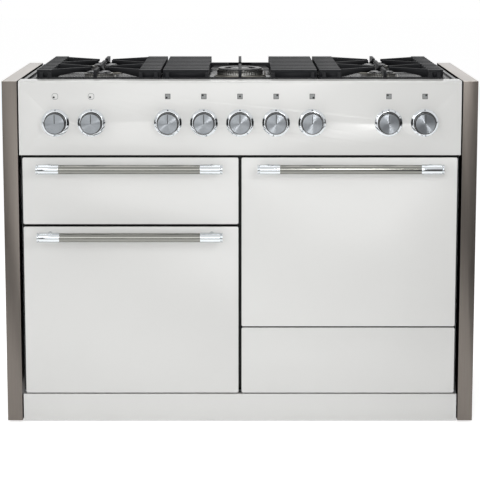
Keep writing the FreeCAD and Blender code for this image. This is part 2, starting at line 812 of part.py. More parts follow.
def taps_and_switches():
    taps = []
    for x in gas_places:
        half = tap_body_width / 2
        y0 = front + tap_stand_back
        body = block(x - half, x + half, y0, y0 + tap_body_depth, knob_height - half, knob_height + half)
        bore = rod(spindle_radius + running_gap, V(x, y0 - overrun, knob_height),
                   V(x, y0 + spindle_in_body, knob_height))
        outlet_y = y0 + tap_body_depth - manifold_radius
        outlet = bar(manifold_radius / 2, V(x, outlet_y, knob_height + half - overrun),
                     V(x, outlet_y, tray_floor - tray_floor_below))
        lug = block(x - manifold_radius, x + manifold_radius, front + skin + seat_gap, y0 + overrun,
                    knob_height + half - manifold_radius, knob_height + half)
        taps.append(fuse([body, outlet, lug]).cut(bore))
    save("gas_taps", *taps)
    switches = []
    for x in oven_places:
        half = switch_width / 2
        y0 = front + tap_stand_back
        body = block(x - half, x + half, y0, y0 + switch_depth, knob_height - half, knob_height + half)
        lug = block(x - half, x - half + manifold_radius, front + skin + seat_gap, y0 + overrun,
                    knob_height - half, knob_height + half)
        shaft_end = front - knob_stand_off - knob_socket_depth + seat_gap
        shaft = rod(spindle_radius, V(x, shaft_end, knob_height), V(x, y0 + overrun, knob_height))
        switches.append(fuse([body, lug, shaft]))
    save("oven_switches", *switches)
    y = front + tap_stand_back + tap_body_depth + manifold_radius + seat_gap
    z = knob_height
    turn_y = back - inlet_length - elbow_half
    corners = [V(gas_places[0] - tap_body_width, y, z), V(inlet_x, y, z), V(inlet_x, turn_y, z),
               V(inlet_x, turn_y, inlet_height)]
    pieces = [rod(manifold_radius, a, b) for a, b in zip(corners, corners[1:])]
    half = elbow_half
    for corner in corners[1:]:
        pieces.append(block(corner.x - half, corner.x + half, corner.y - half, corner.y + half,
                            corner.z - half, corner.z + half))
    pieces.append(rod(inlet_radius, V(inlet_x, turn_y, inlet_height), V(inlet_x, back, inlet_height)))
    whole = fuse(pieces)
    bore = rod(manifold_radius - manifold_wall, V(inlet_x, back - inlet_length, inlet_height),
               V(inlet_x, back + overrun, inlet_height))
    save("gas_manifold", whole.cut(bore))


def terminal_box():
    half = terminal_width / 2
    tall = terminal_tall / 2
    y1 = back - skin - seat_gap
    box = block(terminal_x - half, terminal_x + half, y1 - terminal_depth, y1, terminal_height - tall,
                terminal_height + tall)
    box = box.cut(block(terminal_x - half + skin, terminal_x + half - skin,
                        y1 - terminal_depth + skin, y1 - skin,
                        terminal_height - tall + skin, terminal_height + tall - skin))
    inner_end = V(terminal_x, back - gland_length, terminal_height)
    gland = rod(gland_radius, inner_end, V(terminal_x, back, terminal_height))
    bore = rod(gland_bore, inner_end - V(0, overrun, 0), V(terminal_x, back + overrun, terminal_height))
    save("terminal_box", fuse([box, gland]).cut(bore))


def oven_inside(name, space):
    """Racks, shelves, fan, its cover, its motor and its ring element in one oven."""
    x0, x1, z0, z1 = space
    middle_x = (x0 + x1) / 2
    middle_z = (z0 + z1) / 2
    y0 = frame_back + rim_flange
    cover_y = oven_back - fan_space
    y1 = cover_y - rim_flange
    racks = []
    height = (z1 - z0) * rack_height_share
    step = height / rack_levels
    low = middle_z - height / 2
    post_y = (y0 + rim_flange, y1 - rim_flange)
    for side, wall_x in ((1, x0), (-1, x1)):
        rod_x = wall_x + side * (wire_half + seat_gap / 2)
        rail_x = wall_x + side * rack_stand_off
        wires = [bar(wire_half, V(rod_x, y, low), V(rod_x, y, low + height)) for y in post_y]
        for i in range(rack_levels):
            z = low + step * (i + 1 / 2)
            wires.append(bar(wire_half, V(rail_x, y0, z), V(rail_x, y1, z)))
        racks.append(fuse(wires))
    shelves = []
    for level in (0, 2):
        z = low + step * (level + 1 / 2) + wire_half * 2 + seat_gap / 2
        sx0 = x0 + shelf_gap + wire_half
        sx1 = x1 - shelf_gap - wire_half
        wires = [bar(wire_half, V(sx0, y, z), V(sx1, y, z)) for y in (y0 + rim_flange, y1 - rim_flange / 2)]
        span = sx1 - sx0
        for i in range(shelf_rods):
            x = sx0 + span * i / (shelf_rods - 1)
            near = V(x, y0 + rim_flange - wire_half, z)
            far = V(x, y1 - rim_flange / 2 + wire_half, z)
            wires.append(bar(wire_half, near, far))
        shelves.append(fuse(wires))
    cover_half = element_ring + rim_flange
    cover = block(middle_x - cover_half, middle_x + cover_half, cover_y, oven_back - seat_gap,
                  middle_z - cover_half, middle_z + cover_half)
    inner_half = cover_half - fan_cover_wall
    cover = cover.cut(block(middle_x - inner_half, middle_x + inner_half, cover_y + fan_cover_wall,
                            oven_back + overrun, middle_z - inner_half, middle_z + inner_half))
    holes = []
    for i in range(fan_slot_count):
        z = middle_z + (i - (fan_slot_count - 1) / 2) * fan_slot_pitch
        holes.append(block(middle_x - fan_slot_length / 2, middle_x + fan_slot_length / 2,
                           cover_y - overrun, cover_y + overrun * 2,
                           z - fan_slot_height / 2, z + fan_slot_height / 2))
    cover = cut(cover, holes)
    fan_y = oven_back - rim_flange / 2 - fan_blade_width
    hub = rod(fan_hub_radius, V(middle_x, fan_y, middle_z), V(middle_x, fan_y + fan_blade_width, middle_z))
    shaft_end = oven_back + liner_wall + motor_length / 2
    shaft = rod(fan_shaft_radius, V(middle_x, fan_y, middle_z), V(middle_x, shaft_end, middle_z))
    blades = []
    for i in range(fan_blade_count):
        blade = block(fan_hub_radius - overrun, fan_radius, fan_y, fan_y + fan_blade_width,
                      -fan_blade_wall / 2, fan_blade_wall / 2)
        blade.rotate(V(0, 0, 0), Y, 360.0 * i / fan_blade_count)
        blade.translate(V(middle_x, 0, middle_z))
        blades.append(blade)
    save(name + "_fan", fuse([hub, shaft] + blades))
    motor_y = oven_back + liner_wall + seat_gap
    motor = rod(motor_radius, V(middle_x, motor_y, middle_z), V(middle_x, motor_y + motor_length, middle_z))
    motor = motor.cut(rod(fan_shaft_radius + running_gap, V(middle_x, motor_y - overrun, middle_z),
                          V(middle_x, shaft_end + seat_gap, middle_z)))
    ring_y = oven_back - fan_space / 2
    r0 = element_ring - element_radius
    r1 = element_ring + element_radius
    ring = turned_y([(r0, -element_radius), (r1, -element_radius), (r1, element_radius),
                     (r0, element_radius)], V(middle_x, ring_y, middle_z))
    tails = []
    for side in (-1, 1):
        x = middle_x + side * fan_hub_radius
        z = middle_z - math.sqrt(element_ring ** 2 - fan_hub_radius ** 2)
        tails.append(bar(element_sleeve, V(x, ring_y - element_radius * 2, z),
                         V(x, oven_back + rim_flange, z)))
    element = fuse([ring] + tails)
    wall = liner(space, oven_depth)
    tools = [rod(fan_shaft_radius * 2, V(middle_x, oven_back - overrun, middle_z),
                 V(middle_x, oven_back + liner_wall + overrun, middle_z))]
    for side in (-1, 1):
        x = middle_x + side * fan_hub_radius
        z = middle_z - math.sqrt(element_ring ** 2 - fan_hub_radius ** 2)
        tools.append(bar(element_sleeve + running_gap, V(x, oven_back - overrun, z),
                         V(x, oven_back + liner_wall + overrun, z)))
    save(name + "_liner", cut(wall, tools))
    return racks, shelves, [cover], [motor], [element]


def grill_element_shape():
    x0, x1 = grill_cavity[:2]
    z = grill_cavity[3] - element_radius * 3
    y0 = frame_back + rim_flange * 2
    y1 = frame_back + grill_depth + rim_flange
    middle = (x0 + x1) / 2
    first = middle - grill_element_pitch * (grill_element_runs - 1) / 2
    last = first + grill_element_pitch * (grill_element_runs - 1)
    y_turn = y1 - rim_flange * 3
    corners = [V(first, y1, z)]
    for i in range(grill_element_runs - 1):
        x = first + i * grill_element_pitch
        y = y0 if i % 2 == 0 else y_turn
        corners += [V(x, y, z), V(x + grill_element_pitch, y, z)]
    corners.append(V(last, y1, z))
    return bent_bar(element_radius, corners, element_bend), (first, last, z)


def runner_set(space, z_low, depth):
    """Two fixed channels on the side walls, each open towards the middle."""
    x0, x1 = space[:2]
    solids = []
    for side, wall_x in ((1, x0), (-1, x1)):
        near = wall_x
        far = wall_x + side * runner_width
        channel = block(min(near, far), max(near, far), frame_back,
                        frame_back + depth * runner_depth_share, z_low, z_low + runner_height)
        slot_near = near + side * runner_wall
        slot_far = far + side * overrun
        slot = block(min(slot_near, slot_far), max(slot_near, slot_far), frame_back - overrun,
                     frame_back + depth,
                     z_low + runner_wall, z_low + runner_height - runner_wall)
        solids.append(channel.cut(slot))
    return solids


def sliding_tray(space, z_low, depth, runner_z, height):
    """Open box with a tongue on each side that runs in the fixed channels."""
    x0, x1 = space[:2]
    gap = runner_width + runner_slack
    bx0 = x0 + gap
    bx1 = x1 - gap
    y0 = door_back
    y1 = frame_back + depth * runner_depth_share
    outer = block(bx0, bx1, y0, y1, z_low, z_low + height)
    inner = block(bx0 + tray_wall, bx1 - tray_wall, y0 + tray_wall, y1 - tray_wall, z_low + tray_wall,
                  z_low + height + overrun)
    box = outer.cut(inner)
    tongues = []
    for side, edge in ((-1, bx0), (1, bx1)):
        near = edge - side * tray_wall / 2
        far = edge + side * (gap - runner_wall - runner_slack)
        low = runner_z + runner_wall + runner_slack
        high = runner_z + runner_height - runner_wall - runner_slack
        tongues.append(block(min(near, far), max(near, far), frame_back + overrun, y1 - overrun, low, high))
    return fuse([box] + tongues)


def seal(space):
    """Rope seal round an oven mouth, on the face of the front frame."""
    x0, x1, z0, z1 = space
    ring = block(x0 - seal_width, x1 + seal_width, door_back + seat_gap, frame_front, z0 - seal_width,
                 z1 + seal_width)
    return ring.cut(block(x0, x1, door_back - overrun, frame_front + overrun, z0, z1))


def ovens_and_doors():
    racks = []
    shelves = []
    covers = []
    motors = []
    elements = []
    for name, space in (("left_oven", left_cavity), ("right_oven", right_cavity)):
        found = oven_inside(name, space)
        racks += found[0]
        shelves += found[1]
        covers += found[2]
        motors += found[3]
        elements += found[4]
    element, places = grill_element_shape()
    elements.append(element)
    save("shelf_racks", *racks)
    save("oven_shelves", *shelves)
    save("fan_covers", *covers)
    save("fan_motors", *motors)
    save("heating_elements", *elements)
    chamber = liner(grill_cavity, grill_depth)
    back_y = frame_back + grill_depth
    tools = [bar(element_radius + running_gap, V(x, back_y - overrun, places[2]),
                 V(x, back_y + overrun, places[2])) for x in places[:2]]
    save("grill_chamber", cut(chamber, tools))
    save("door_seals", seal(left_cavity), seal(right_cavity))
    arms = hinge_arms(*left_span, low_door_bottom) + hinge_arms(*right_span, right_oven_bottom)
    save("oven_hinge_arms", *arms)
    for name, span, z0, z1, drop in (("left_oven", left_span, low_door_bottom, left_oven_top,
                                      left_handle_drop),
                                     ("right_oven", right_span, right_oven_bottom, door_top, handle_drop)):
        panel = cut(front_panel(span[0], span[1], z0, z1), hinge_slots(span[0], span[1], z0))
        save(name + "_door_panel", panel)
        save(name + "_door_liner", door_liner(span[0], span[1], z0, z1, cavity_low_margin,
                                              cavity_top_margin))
        save(name + "_handle", *handle((span[0] + span[1]) / 2, z1 - drop))


def grill_and_drawer():
    grill_runner = grill_cavity[2] + rim_flange
    drawer_runner = drawer_cavity[2] + drawer_box_height / 2
    ribs = runner_set(grill_cavity, grill_runner, grill_depth)
    channels = runner_set(drawer_cavity, drawer_runner, drawer_depth)
    x0, x1 = drawer_cavity[:2]
    for channel, side, wall_x in ((channels[0], 1, x0), (channels[1], -1, x1)):
        end = divider_width / 2 if side > 0 else inner_half - base_side_gap - tube_wall
        stand = block(min(wall_x, end), max(wall_x, end), frame_back, frame_back + base_bar, drawer_runner,
                      drawer_runner + runner_height)
        ribs.append(fuse([channel, stand]))
    save("slide_runners", *ribs)
    save("grill_front", front_panel(left_span[0], left_span[1], grill_bottom, door_top))
    save("grill_handle", *handle((left_span[0] + left_span[1]) / 2, door_top - handle_drop))
    save("grill_pan", carrier(grill_cavity, grill_cavity[2] + carrier_inset, grill_depth, grill_runner,
                              grill_box_height, left_span, grill_bottom, door_top))
    save("drawer_front", front_panel(right_span[0], right_span[1], low_door_bottom, drawer_top))
    save("drawer_box", carrier(drawer_cavity, drawer_cavity[2] + carrier_inset, drawer_depth,
                               drawer_runner, drawer_box_height, right_span, low_door_bottom, drawer_top))


def carrier(space, z_low, depth, runner_z, height, span, z0, z1):
    """Sliding tray with the flat plate that closes the back of its front panel."""
    plate = block(span[0] + skin + seat_gap, span[1] - skin - seat_gap, door_back - frame_wall, door_back,
                  z0 + skin + seat_gap, z1 - skin - seat_gap)
    return fuse([plate, sliding_tray(space, z_low, depth, runner_z, height)])


side_panels()
chassis()
back_panel()
front_frame()
control_panel()
hob_tray()
plinth()
burners()
pan_supports()
knobs()
taps_and_switches()
terminal_box()
ovens_and_doors()
grill_and_drawer()
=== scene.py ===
# %% [markdown]
# # A dual fuel range cooker, dressed for its portrait
#
# The CAD model gives every solid its place and its motion. This lesson adds what the eye reads: rounded enamel
# fronts, spun aluminium knobs, cast iron with its grain, and a soft studio. First the CAD model is loaded as a fixed
# frame. Nothing in it is moved: new pieces are laid over it or stand for one of its nodes.

# %% Load the frame
import math

import bmesh
import bpy
import numpy as np
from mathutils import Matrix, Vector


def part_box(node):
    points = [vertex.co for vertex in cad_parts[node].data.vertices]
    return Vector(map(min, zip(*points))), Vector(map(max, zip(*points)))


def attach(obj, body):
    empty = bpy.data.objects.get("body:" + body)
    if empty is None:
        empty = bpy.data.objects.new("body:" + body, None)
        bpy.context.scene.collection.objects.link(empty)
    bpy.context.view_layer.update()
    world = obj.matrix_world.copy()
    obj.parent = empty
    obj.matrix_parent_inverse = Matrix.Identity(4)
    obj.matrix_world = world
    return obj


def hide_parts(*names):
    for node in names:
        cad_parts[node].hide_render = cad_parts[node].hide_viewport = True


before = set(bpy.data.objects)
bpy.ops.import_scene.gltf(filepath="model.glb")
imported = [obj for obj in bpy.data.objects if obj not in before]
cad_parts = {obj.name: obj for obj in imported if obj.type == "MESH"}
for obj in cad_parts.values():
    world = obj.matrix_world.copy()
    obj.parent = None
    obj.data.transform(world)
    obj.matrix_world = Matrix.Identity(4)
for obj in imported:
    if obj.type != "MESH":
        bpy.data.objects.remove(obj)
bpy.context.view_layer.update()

# %% [markdown]
# ## Camera
#
# The picture was taken from straight in front, a little above the hob, with upright edges kept parallel. A real
# photographer does that with a shift lens. A long lens from further back, tilted a little and shifted a little, gives
# the same look and keeps the other views uncropped, so that is what is set here. The focal length follows from the
# distance and from how many millimetres one pixel covers on the door fronts.

# %% Camera
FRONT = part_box("left_oven_door_panel")[0].y  # the plane of the door fronts
PIXEL = 0.002548    # metres of that plane under one pixel
PICTURE = 480       # pixels across the picture
DISTANCE = 4.4      # metres from the camera to that plane
MID_HEIGHT = 0.478  # the height that the camera aims at
EYE_HEIGHT = 1.268
SHIFT = -0.12       # a share of the picture's width

eye = bpy.data.cameras.new("studio_camera")
camera = bpy.data.objects.new("studio_camera", eye)
bpy.context.scene.collection.objects.link(camera)
bpy.context.scene.camera = camera
drop = math.atan2(EYE_HEIGHT - MID_HEIGHT, DISTANCE)
reach = math.hypot(DISTANCE, EYE_HEIGHT - MID_HEIGHT)
focal_pixels = math.sqrt((reach / PIXEL) ** 2 - (SHIFT * PICTURE) ** 2)
off_axis = math.atan2(-SHIFT * PICTURE, focal_pixels)
eye.sensor_width = 36
eye.lens = focal_pixels * eye.sensor_width / PICTURE
eye.shift_y = SHIFT
eye.clip_start, eye.clip_end = 0.1, 60
camera.location = (0, FRONT - DISTANCE, EYE_HEIGHT)
camera.rotation_euler = (math.pi / 2 - drop + off_axis, 0, 0)
print("lens", round(eye.lens, 1), "mm, tilted", round(math.degrees(drop - off_axis), 1), "degrees")

# %% [markdown]
# ## Colours and nodes
#
# Paint shops quote colours as the screen shows them, while a shader works with light, so one function turns a hex
# value into linear light. A second one adds a node with its settings and links; everything below is built with it.
# Nearly every finish then needs the same three things from a pattern: two close tones, a gloss that wanders and a
# slight relief. One function lays these on the shader, from one pattern or from three.

# %% Colour and node helpers
def linear(code):
    """Hex colour to linear light: c / 12.92 below 0.04045, else ((c + 0.055) / 1.055) to the power 2.4."""
    srgb = np.array([int(code[i:i + 2], 16) for i in (1, 3, 5)]) / 255
    light = np.where(srgb <= 0.04045, srgb / 12.92, ((srgb + 0.055) / 1.055) ** 2.4)
    return (*light, 1.0)


def add(material, kind, inputs=None, **settings):
    """One node of that kind in the material, with its settings and with values or links on its inputs."""
    node = material.node_tree.nodes.new(kind)
    for key, value in settings.items():
        setattr(node, key, value)
    for key, value in (inputs or {}).items():
        if isinstance(value, bpy.types.NodeSocket):
            material.node_tree.links.new(value, node.inputs[key])
        else:
            node.inputs[key].default_value = value
    return node


def finish_named(name):
    """An empty material with its shader and output: returns the material and the shader."""
    material = bpy.data.materials.new(name)
    material.use_nodes = True
    material.node_tree.nodes.clear()
    shader = add(material, "ShaderNodeBsdfPrincipled")
    add(material, "ShaderNodeOutputMaterial", {"Surface": shader.outputs["BSDF"]})
    return material, shader


def per_metre(millimetres):
    """A noise repeats about once per unit, so a feature of that size needs this scale."""
    return 1000 / millimetres


def stretched(material, scales):
    """Object coordinates scaled per axis, for grain that is longer one way than the other."""
    place = add(material, "ShaderNodeTexCoord")
    return add(material, "ShaderNodeMapping", {"Vector": place.outputs["Object"], "Scale": scales}).outputs[0]


def in_place(material):
    """Object coordinates as they are, in metres: a pattern on them stays on the piece when it moves."""
    return stretched(material, (1, 1, 1))


COLOUR_A, COLOUR_B, COLOUR_OUT = 6, 7, 2  # a Mix node's sockets when it mixes colours


def patterned(material, shader, patterns, tones, roughs, depth):
    """Three patterns, 0 to 1: for the tone between two hex colours, the roughness, and a relief of depth metres."""
    tone = add(material, "ShaderNodeMix", {0: patterns[0], COLOUR_A: linear(tones[0]), COLOUR_B: linear(tones[1])},
               data_type="RGBA")
    gloss = add(material, "ShaderNodeMapRange", {"Value": patterns[1], "To Min": roughs[0], "To Max": roughs[1]})
    bump = add(material, "ShaderNodeBump", {"Height": patterns[2], "Distance": depth, "Strength": 1.0})
    for source, target in ((tone.outputs[COLOUR_OUT], "Base Color"), (gloss.outputs[0], "Roughness"),
                           (bump.outputs[0], "Normal")):
        material.node_tree.links.new(source, shader.inputs[target])


print("helpers ready; mid grey is", [round(v, 3) for v in linear("#808080")[:3]])

# %% [markdown]
# ## Vitreous enamel
#
# The fronts and the panel are pressed steel with glass fired on at 800 degrees. Sprayed glass keeps a slight orange
# peel, waves a few millimetres long and a few micrometres deep, which shows only where it reflects. Real peel is too
# shallow for this picture size, so it is drawn a little deeper. The hob is the same glass in black, and the oven
# cavities are a ground coat: dark grey with pale specks about a millimetre across.

# %% Enamels
GLASS_IOR = 1.5
DRIFT, FILM = 220, 60  # millimetres: the tone drifts over a hand's width, the gloss over a finger's length


def fired_enamel(name, low, high, rough, peel, depth):
    """Glass on steel: a dielectric with two close tones that drift, a gloss that wanders, and orange peel."""
    material, shader = finish_named(name)
    where = in_place(material)
    patterns = [add(material, "ShaderNodeTexNoise", {"Vector": where, "Scale": per_metre(size), "Detail": detail})
                .outputs["Fac"] for size, detail in ((DRIFT, 1.0), (FILM, 3.0), (peel, 2.0))]
    patterned(material, shader, patterns, (low, high), (rough * 0.75, rough * 1.25), depth)
    shader.inputs["IOR"].default_value = GLASS_IOR
    return material, shader


white_enamel, _ = fired_enamel("white_vitreous_enamel_sprayed", "#e2e2e0", "#e6e6e4", 0.22, 5.0, 0.00003)
hob_enamel, _ = fired_enamel("black_vitreous_enamel_hob", "#15161a", "#1b1c20", 0.26, 6.0, 0.00004)
# the frame's near black is darker than the hob's glass so that the gaps in front of it read black: black enamel, with
# painted shade
frame_enamel_and_gap_shade, _ = fired_enamel("black_enamel_frame_and_gap_shade", "#060607", "#0a0a0b", 0.45, 4.0, 0.00003)
print("enamels:", white_enamel.name, hob_enamel.name, frame_enamel_and_gap_shade.name)

# %% [markdown]
# On the doors and drawer the white covers the face and turns the corner by a few millimetres; behind that their edges
# and backs are painted near black, a painted shade that makes the gaps between the doors read as black lines.

# %% White faces, edges painted dark as shade
def other_tone(material, shader, axis, start, end, code):
    """The base colour fades into that hex colour where the Object coordinate on the axis runs from start to end."""
    first = shader.inputs["Base Color"].links[0].from_socket
    place = add(material, "ShaderNodeSeparateXYZ", {"Vector": in_place(material)})
    share = add(material, "ShaderNodeMapRange", {"Value": place.outputs[axis], "From Min": start, "From Max": end})
    both = add(material, "ShaderNodeMix", {0: share.outputs[0], COLOUR_A: first, COLOUR_B: linear(code)},
               data_type="RGBA")
    material.node_tree.links.new(both.outputs[COLOUR_OUT], shader.inputs["Base Color"])


EDGE_SHADE_FROM, EDGE_SHADE_FADE = 0.005, 0.002
door_enamel_edge_shade, door_edge_shade_shader = fired_enamel("white_enamel_painted_edge_shade", "#e2e2e0", "#e6e6e4", 0.22, 5.0,
                                        0.00003)
# painted shade: the base colour turns near black on the edges, from this depth behind the front
other_tone(door_enamel_edge_shade, door_edge_shade_shader, "Y", FRONT + EDGE_SHADE_FROM, FRONT + EDGE_SHADE_FROM + EDGE_SHADE_FADE, "#0b0b0c")
print("white turns the corner by", round(1000 * EDGE_SHADE_FROM), "mm")

# %% Speckled ground coat enamel
SPECK_PITCH = 5  # millimetres between specks
SPECK_CORE, SPECK_EDGE = 0.10, 0.16  # radii of a speck, as shares of the pitch
oven_enamel, oven_shader = fired_enamel("grey_speckled_oven_enamel", "#3a3d43", "#42454b", 0.25, 5.0, 0.00004)
dots = add(oven_enamel, "ShaderNodeTexVoronoi", {"Vector": in_place(oven_enamel), "Scale": per_metre(SPECK_PITCH)})
speck = add(oven_enamel, "ShaderNodeValToRGB", {"Fac": dots.outputs["Distance"]})
for element, share, code in zip(speck.color_ramp.elements, (SPECK_CORE, SPECK_EDGE), ("#c9ccd0", "#3c3f45")):
    element.position, element.color = share, linear(code)
oven_enamel.node_tree.links.new(speck.outputs["Color"], oven_shader.inputs["Base Color"])
print("specks about", round((SPECK_CORE + SPECK_EDGE) * SPECK_PITCH, 1), "mm across")

# %% [markdown]
# ## Metals
#
# Brushed sheet has scratches tens of millimetres long and a tenth of a millimetre apart. Drawn at that pitch they
# would vanish between pixels, so they are drawn about a millimetre apart. A scratch scatters light across itself,
# which the shader's anisotropy gives; the noise, stretched along the grain, gives the streaks. The top edge of each
# side panel is painted paler than the brushed face: a painted highlight where the rim catches light from above.

# %% Brushed stainless steel
SCRATCH_PITCH = 1.2  # millimetres from one drawn scratch to the next
SCRATCH_DEPTH = 0.00002
# the rim's painted highlight: the base colour turns paler between these depths below the rim
PAINTED_HIGHLIGHT_START, PAINTED_HIGHLIGHT_END = 0.0014, 0.0006  # metres below the rim


def brushed_steel(name, low, high, rough, grain, length=90):
    """Metal with streaks: the noise is squeezed to the pitch across the grain axis, and is length mm long along it."""
    material, shader = finish_named(name)
    scales = [per_metre(SCRATCH_PITCH)] * 3
    scales["xyz".index(grain)] = per_metre(length)
    streak = add(material, "ShaderNodeTexNoise", {"Vector": stretched(material, scales), "Scale": 1.0, "Detail": 3.0})
    patterned(material, shader, [streak.outputs["Fac"]] * 3, (low, high), (rough * 0.8, rough * 1.2), SCRATCH_DEPTH)
    shader.inputs["Metallic"].default_value = 1.0
    shader.inputs["Anisotropic"].default_value = 0.4
    return material, shader


side_steel, side_shader = brushed_steel("stainless_steel_sheet_brushed", "#6b6560", "#7d7771", 0.36, "z")
bar_steel, _ = brushed_steel("stainless_steel_tube_satin", "#7f7f7a", "#90908b", 0.17, "x", length=60)
runner_steel, _ = brushed_steel("zinc_plated_steel_rolled", "#9a9c9e", "#b2b4b6", 0.35, "y")
rim_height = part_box("side_panel_left")[1].z
# painted highlight: the steel's base colour turns paler along the top rim, where light from above falls on it
other_tone(side_steel, side_shader, "Z", rim_height - PAINTED_HIGHLIGHT_START, rim_height - PAINTED_HIGHLIGHT_END, "#b9b4af")
print("steels:", side_steel.name, bar_steel.name, runner_steel.name)

# %% [markdown]
# Chrome is nickel and chromium plated over polished metal: nearly a mirror, slightly blue. Die-cast aluminium comes
# out of its mould grey and finely pitted. Hot dip galvanising leaves crystals a centimetre across, each its own grey.
# Turned brass is the one warm metal, and the steel sheath of a heating element oxidises to a dull dark brown.

# %% Plated, cast and galvanised metals
def plain_metal(name, low, high, rough, grain_size, depth):
    """Metal whose tone and roughness wander with a grain of that size in millimetres."""
    material, shader = finish_named(name)
    grain = add(material, "ShaderNodeTexNoise", {"Vector": in_place(material), "Scale": per_metre(grain_size),
                                                 "Detail": 3.0})
    patterned(material, shader, [grain.outputs["Fac"]] * 3, (low, high), (rough * 0.8, rough * 1.25), depth)
    shader.inputs["Metallic"].default_value = 1.0
    return material


chrome = plain_metal("chrome_plate_polished", "#cfd3d6", "#dadee1", 0.09, 30, 0.00001)
cast_aluminium = plain_metal("burner_aluminium_die_cast", "#a2a19d", "#b9b8b4", 0.42, 2.0, 0.0001)
brass = plain_metal("brass_turned", "#b08d4c", "#c7a45f", 0.3, 8, 0.00002)
sheath = plain_metal("heating_element_sheath_oxidised", "#3b3733", "#57504a", 0.5, 6, 0.00005)
galvanised = plain_metal("steel_sheet_galvanised", "#8b8f92", "#b0b4b7", 0.4, 12, 0.00002)
print("metals:", chrome.name, cast_aluminium.name, brass.name, sheath.name, galvanised.name)

# %% [markdown]
# ## Cast iron
#
# The pan supports are sand cast iron under matt black enamel. The sand leaves grains under a millimetre, drawn here
# at the finest size that still shows, and the thin glass over them gives a soft sheen with a blue cast on faces
# turned to the light.

# %% Cast iron
SAND_GRAIN = 1.6  # millimetres
cast_iron, iron_shader = finish_named("cast_iron_sand_cast_matt_enamel")
sand = add(cast_iron, "ShaderNodeTexNoise", {"Vector": in_place(cast_iron), "Scale": per_metre(SAND_GRAIN),
                                             "Detail": 4.0})
patterned(cast_iron, iron_shader, [sand.outputs["Fac"]] * 3, ("#151619", "#202124"), (0.48, 0.64), 0.00018)
iron_shader.inputs["IOR"].default_value = GLASS_IOR
iron_shader.inputs["Specular IOR Level"].default_value = 0.2
print("sand grain", SAND_GRAIN, "mm")

# %% [markdown]
# ## Plastics, fibre, ink
#
# The last few are small: moulded black switch bodies and nylon rollers with the satin grain of their moulds, the
# dull braided glass fibre of the door seals, and the fired ink of the marks. Mould grain and fibres are finer than a
# millimetre; they too are drawn at 1.5 to 3 mm, the finest that shows.

# %% Moulded and printed finishes
PLASTIC_IOR = 1.5


def moulded(name, low, high, rough, grain_size, depth):
    """Dielectric with a fine mould texture of that grain size in millimetres."""
    material, shader = finish_named(name)
    grain = add(material, "ShaderNodeTexNoise", {"Vector": in_place(material), "Scale": per_metre(grain_size),
                                                 "Detail": 2.0})
    patterned(material, shader, [grain.outputs["Fac"]] * 3, (low, high), (rough * 0.85, rough * 1.15), depth)
    shader.inputs["IOR"].default_value = PLASTIC_IOR
    return material


# this black also colours the knob drums and the rings in the bezels' gaps: there it is painted shade
black_plastic_and_knob_shade = moulded("black_phenolic_and_knob_shade", "#0f1012", "#17181a", 0.35, 1.5, 0.00003)
roller_nylon = moulded("grey_nylon_moulded", "#4d4f52", "#5a5c5f", 0.45, 2, 0.00004)
seal_fibre = moulded("glass_fibre_braid_black", "#1d1d1e", "#37373a", 0.8, 2, 0.0004)
ink = moulded("black_ink_fired", "#0d0e0f", "#141516", 0.4, 3, 0.00001)
grey_ink = moulded("grey_ink_fired", "#4c4e4f", "#585a5b", 0.4, 3, 0.00001)
pale_ink = moulded("pale_grey_ink_fired", "#878988", "#919392", 0.4, 3, 0.00001)
print("small finishes:", black_plastic_and_knob_shade.name, roller_nylon.name, seal_fibre.name)

# %% [markdown]
# ## Painting the CAD nodes
#
# Each node that stays visible takes the finish of the real part. A list per finish is easier to check against the
# object than a rule by name.

# %% Finishes for the CAD nodes
GAS_NUMBERS = range(3, 8)  # knobs are numbered 1 to 9 from the left; these five feed the burners
KNOBS = [f"oven_knob_{n}" for n in (1, 2, 8, 9)] + [f"gas_knob_{n}" for n in GAS_NUMBERS]
NODE_FINISHES = [
    (white_enamel, ["control_panel", "plinth"]),
    (door_enamel_edge_shade, ["left_oven_door_panel", "right_oven_door_panel", "grill_front", "drawer_front"]),
    (hob_enamel, ["hob_tray", "burner_caps"]),
    (frame_enamel_and_gap_shade, ["front_frame", "burner_bowls"]),
    (oven_enamel, ["left_oven_liner", "right_oven_liner", "grill_chamber", "fan_covers", "grill_pan",
                   "left_oven_door_liner", "right_oven_door_liner", "drawer_box"]),
    (side_steel, ["side_panel_left", "side_panel_right"]),
    (bar_steel, ["left_oven_handle", "right_oven_handle", "grill_handle"]),
    (runner_steel, ["slide_runners", "oven_hinge_arms", "fan_motors"]),
    (galvanised, ["chassis", "back_panel", "terminal_box"]),
    (chrome, ["shelf_racks", "oven_shelves", "knob_bezels"]),
    (cast_aluminium, ["burner_heads", "gas_manifold", "left_oven_fan", "right_oven_fan"]),
    (brass, ["gas_taps"] + [f"tap_spindle_{n}" for n in GAS_NUMBERS]),
    (sheath, ["heating_elements"]),
    (cast_iron, ["pan_support_left", "pan_support_centre", "pan_support_right"]),
    (seal_fibre, ["door_seals"]),
    (black_plastic_and_knob_shade, ["oven_switches", "front_feet"] + KNOBS),
    (roller_nylon, ["rear_roller_left", "rear_roller_right"]),
]

painted = set()
for finish, members in NODE_FINISHES:
    for member in members:
        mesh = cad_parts[member].data
        mesh.materials.clear()
        mesh.materials.append(finish)
        painted.add(member)
print("painted", len(painted), "of", len(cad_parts), "left:", sorted(set(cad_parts) - painted))

# %% [markdown]
# ## Surfaces from arrays
#
# Every new piece is a surface worked out with numpy: rows of points, each row a ring, laid one after another. The
# faces follow from the row and column numbers, so one helper serves turned, bent and pressed shapes alike. Another
# joins several such shapes in one mesh, sets it at its place and lets it ride on its CAD body.

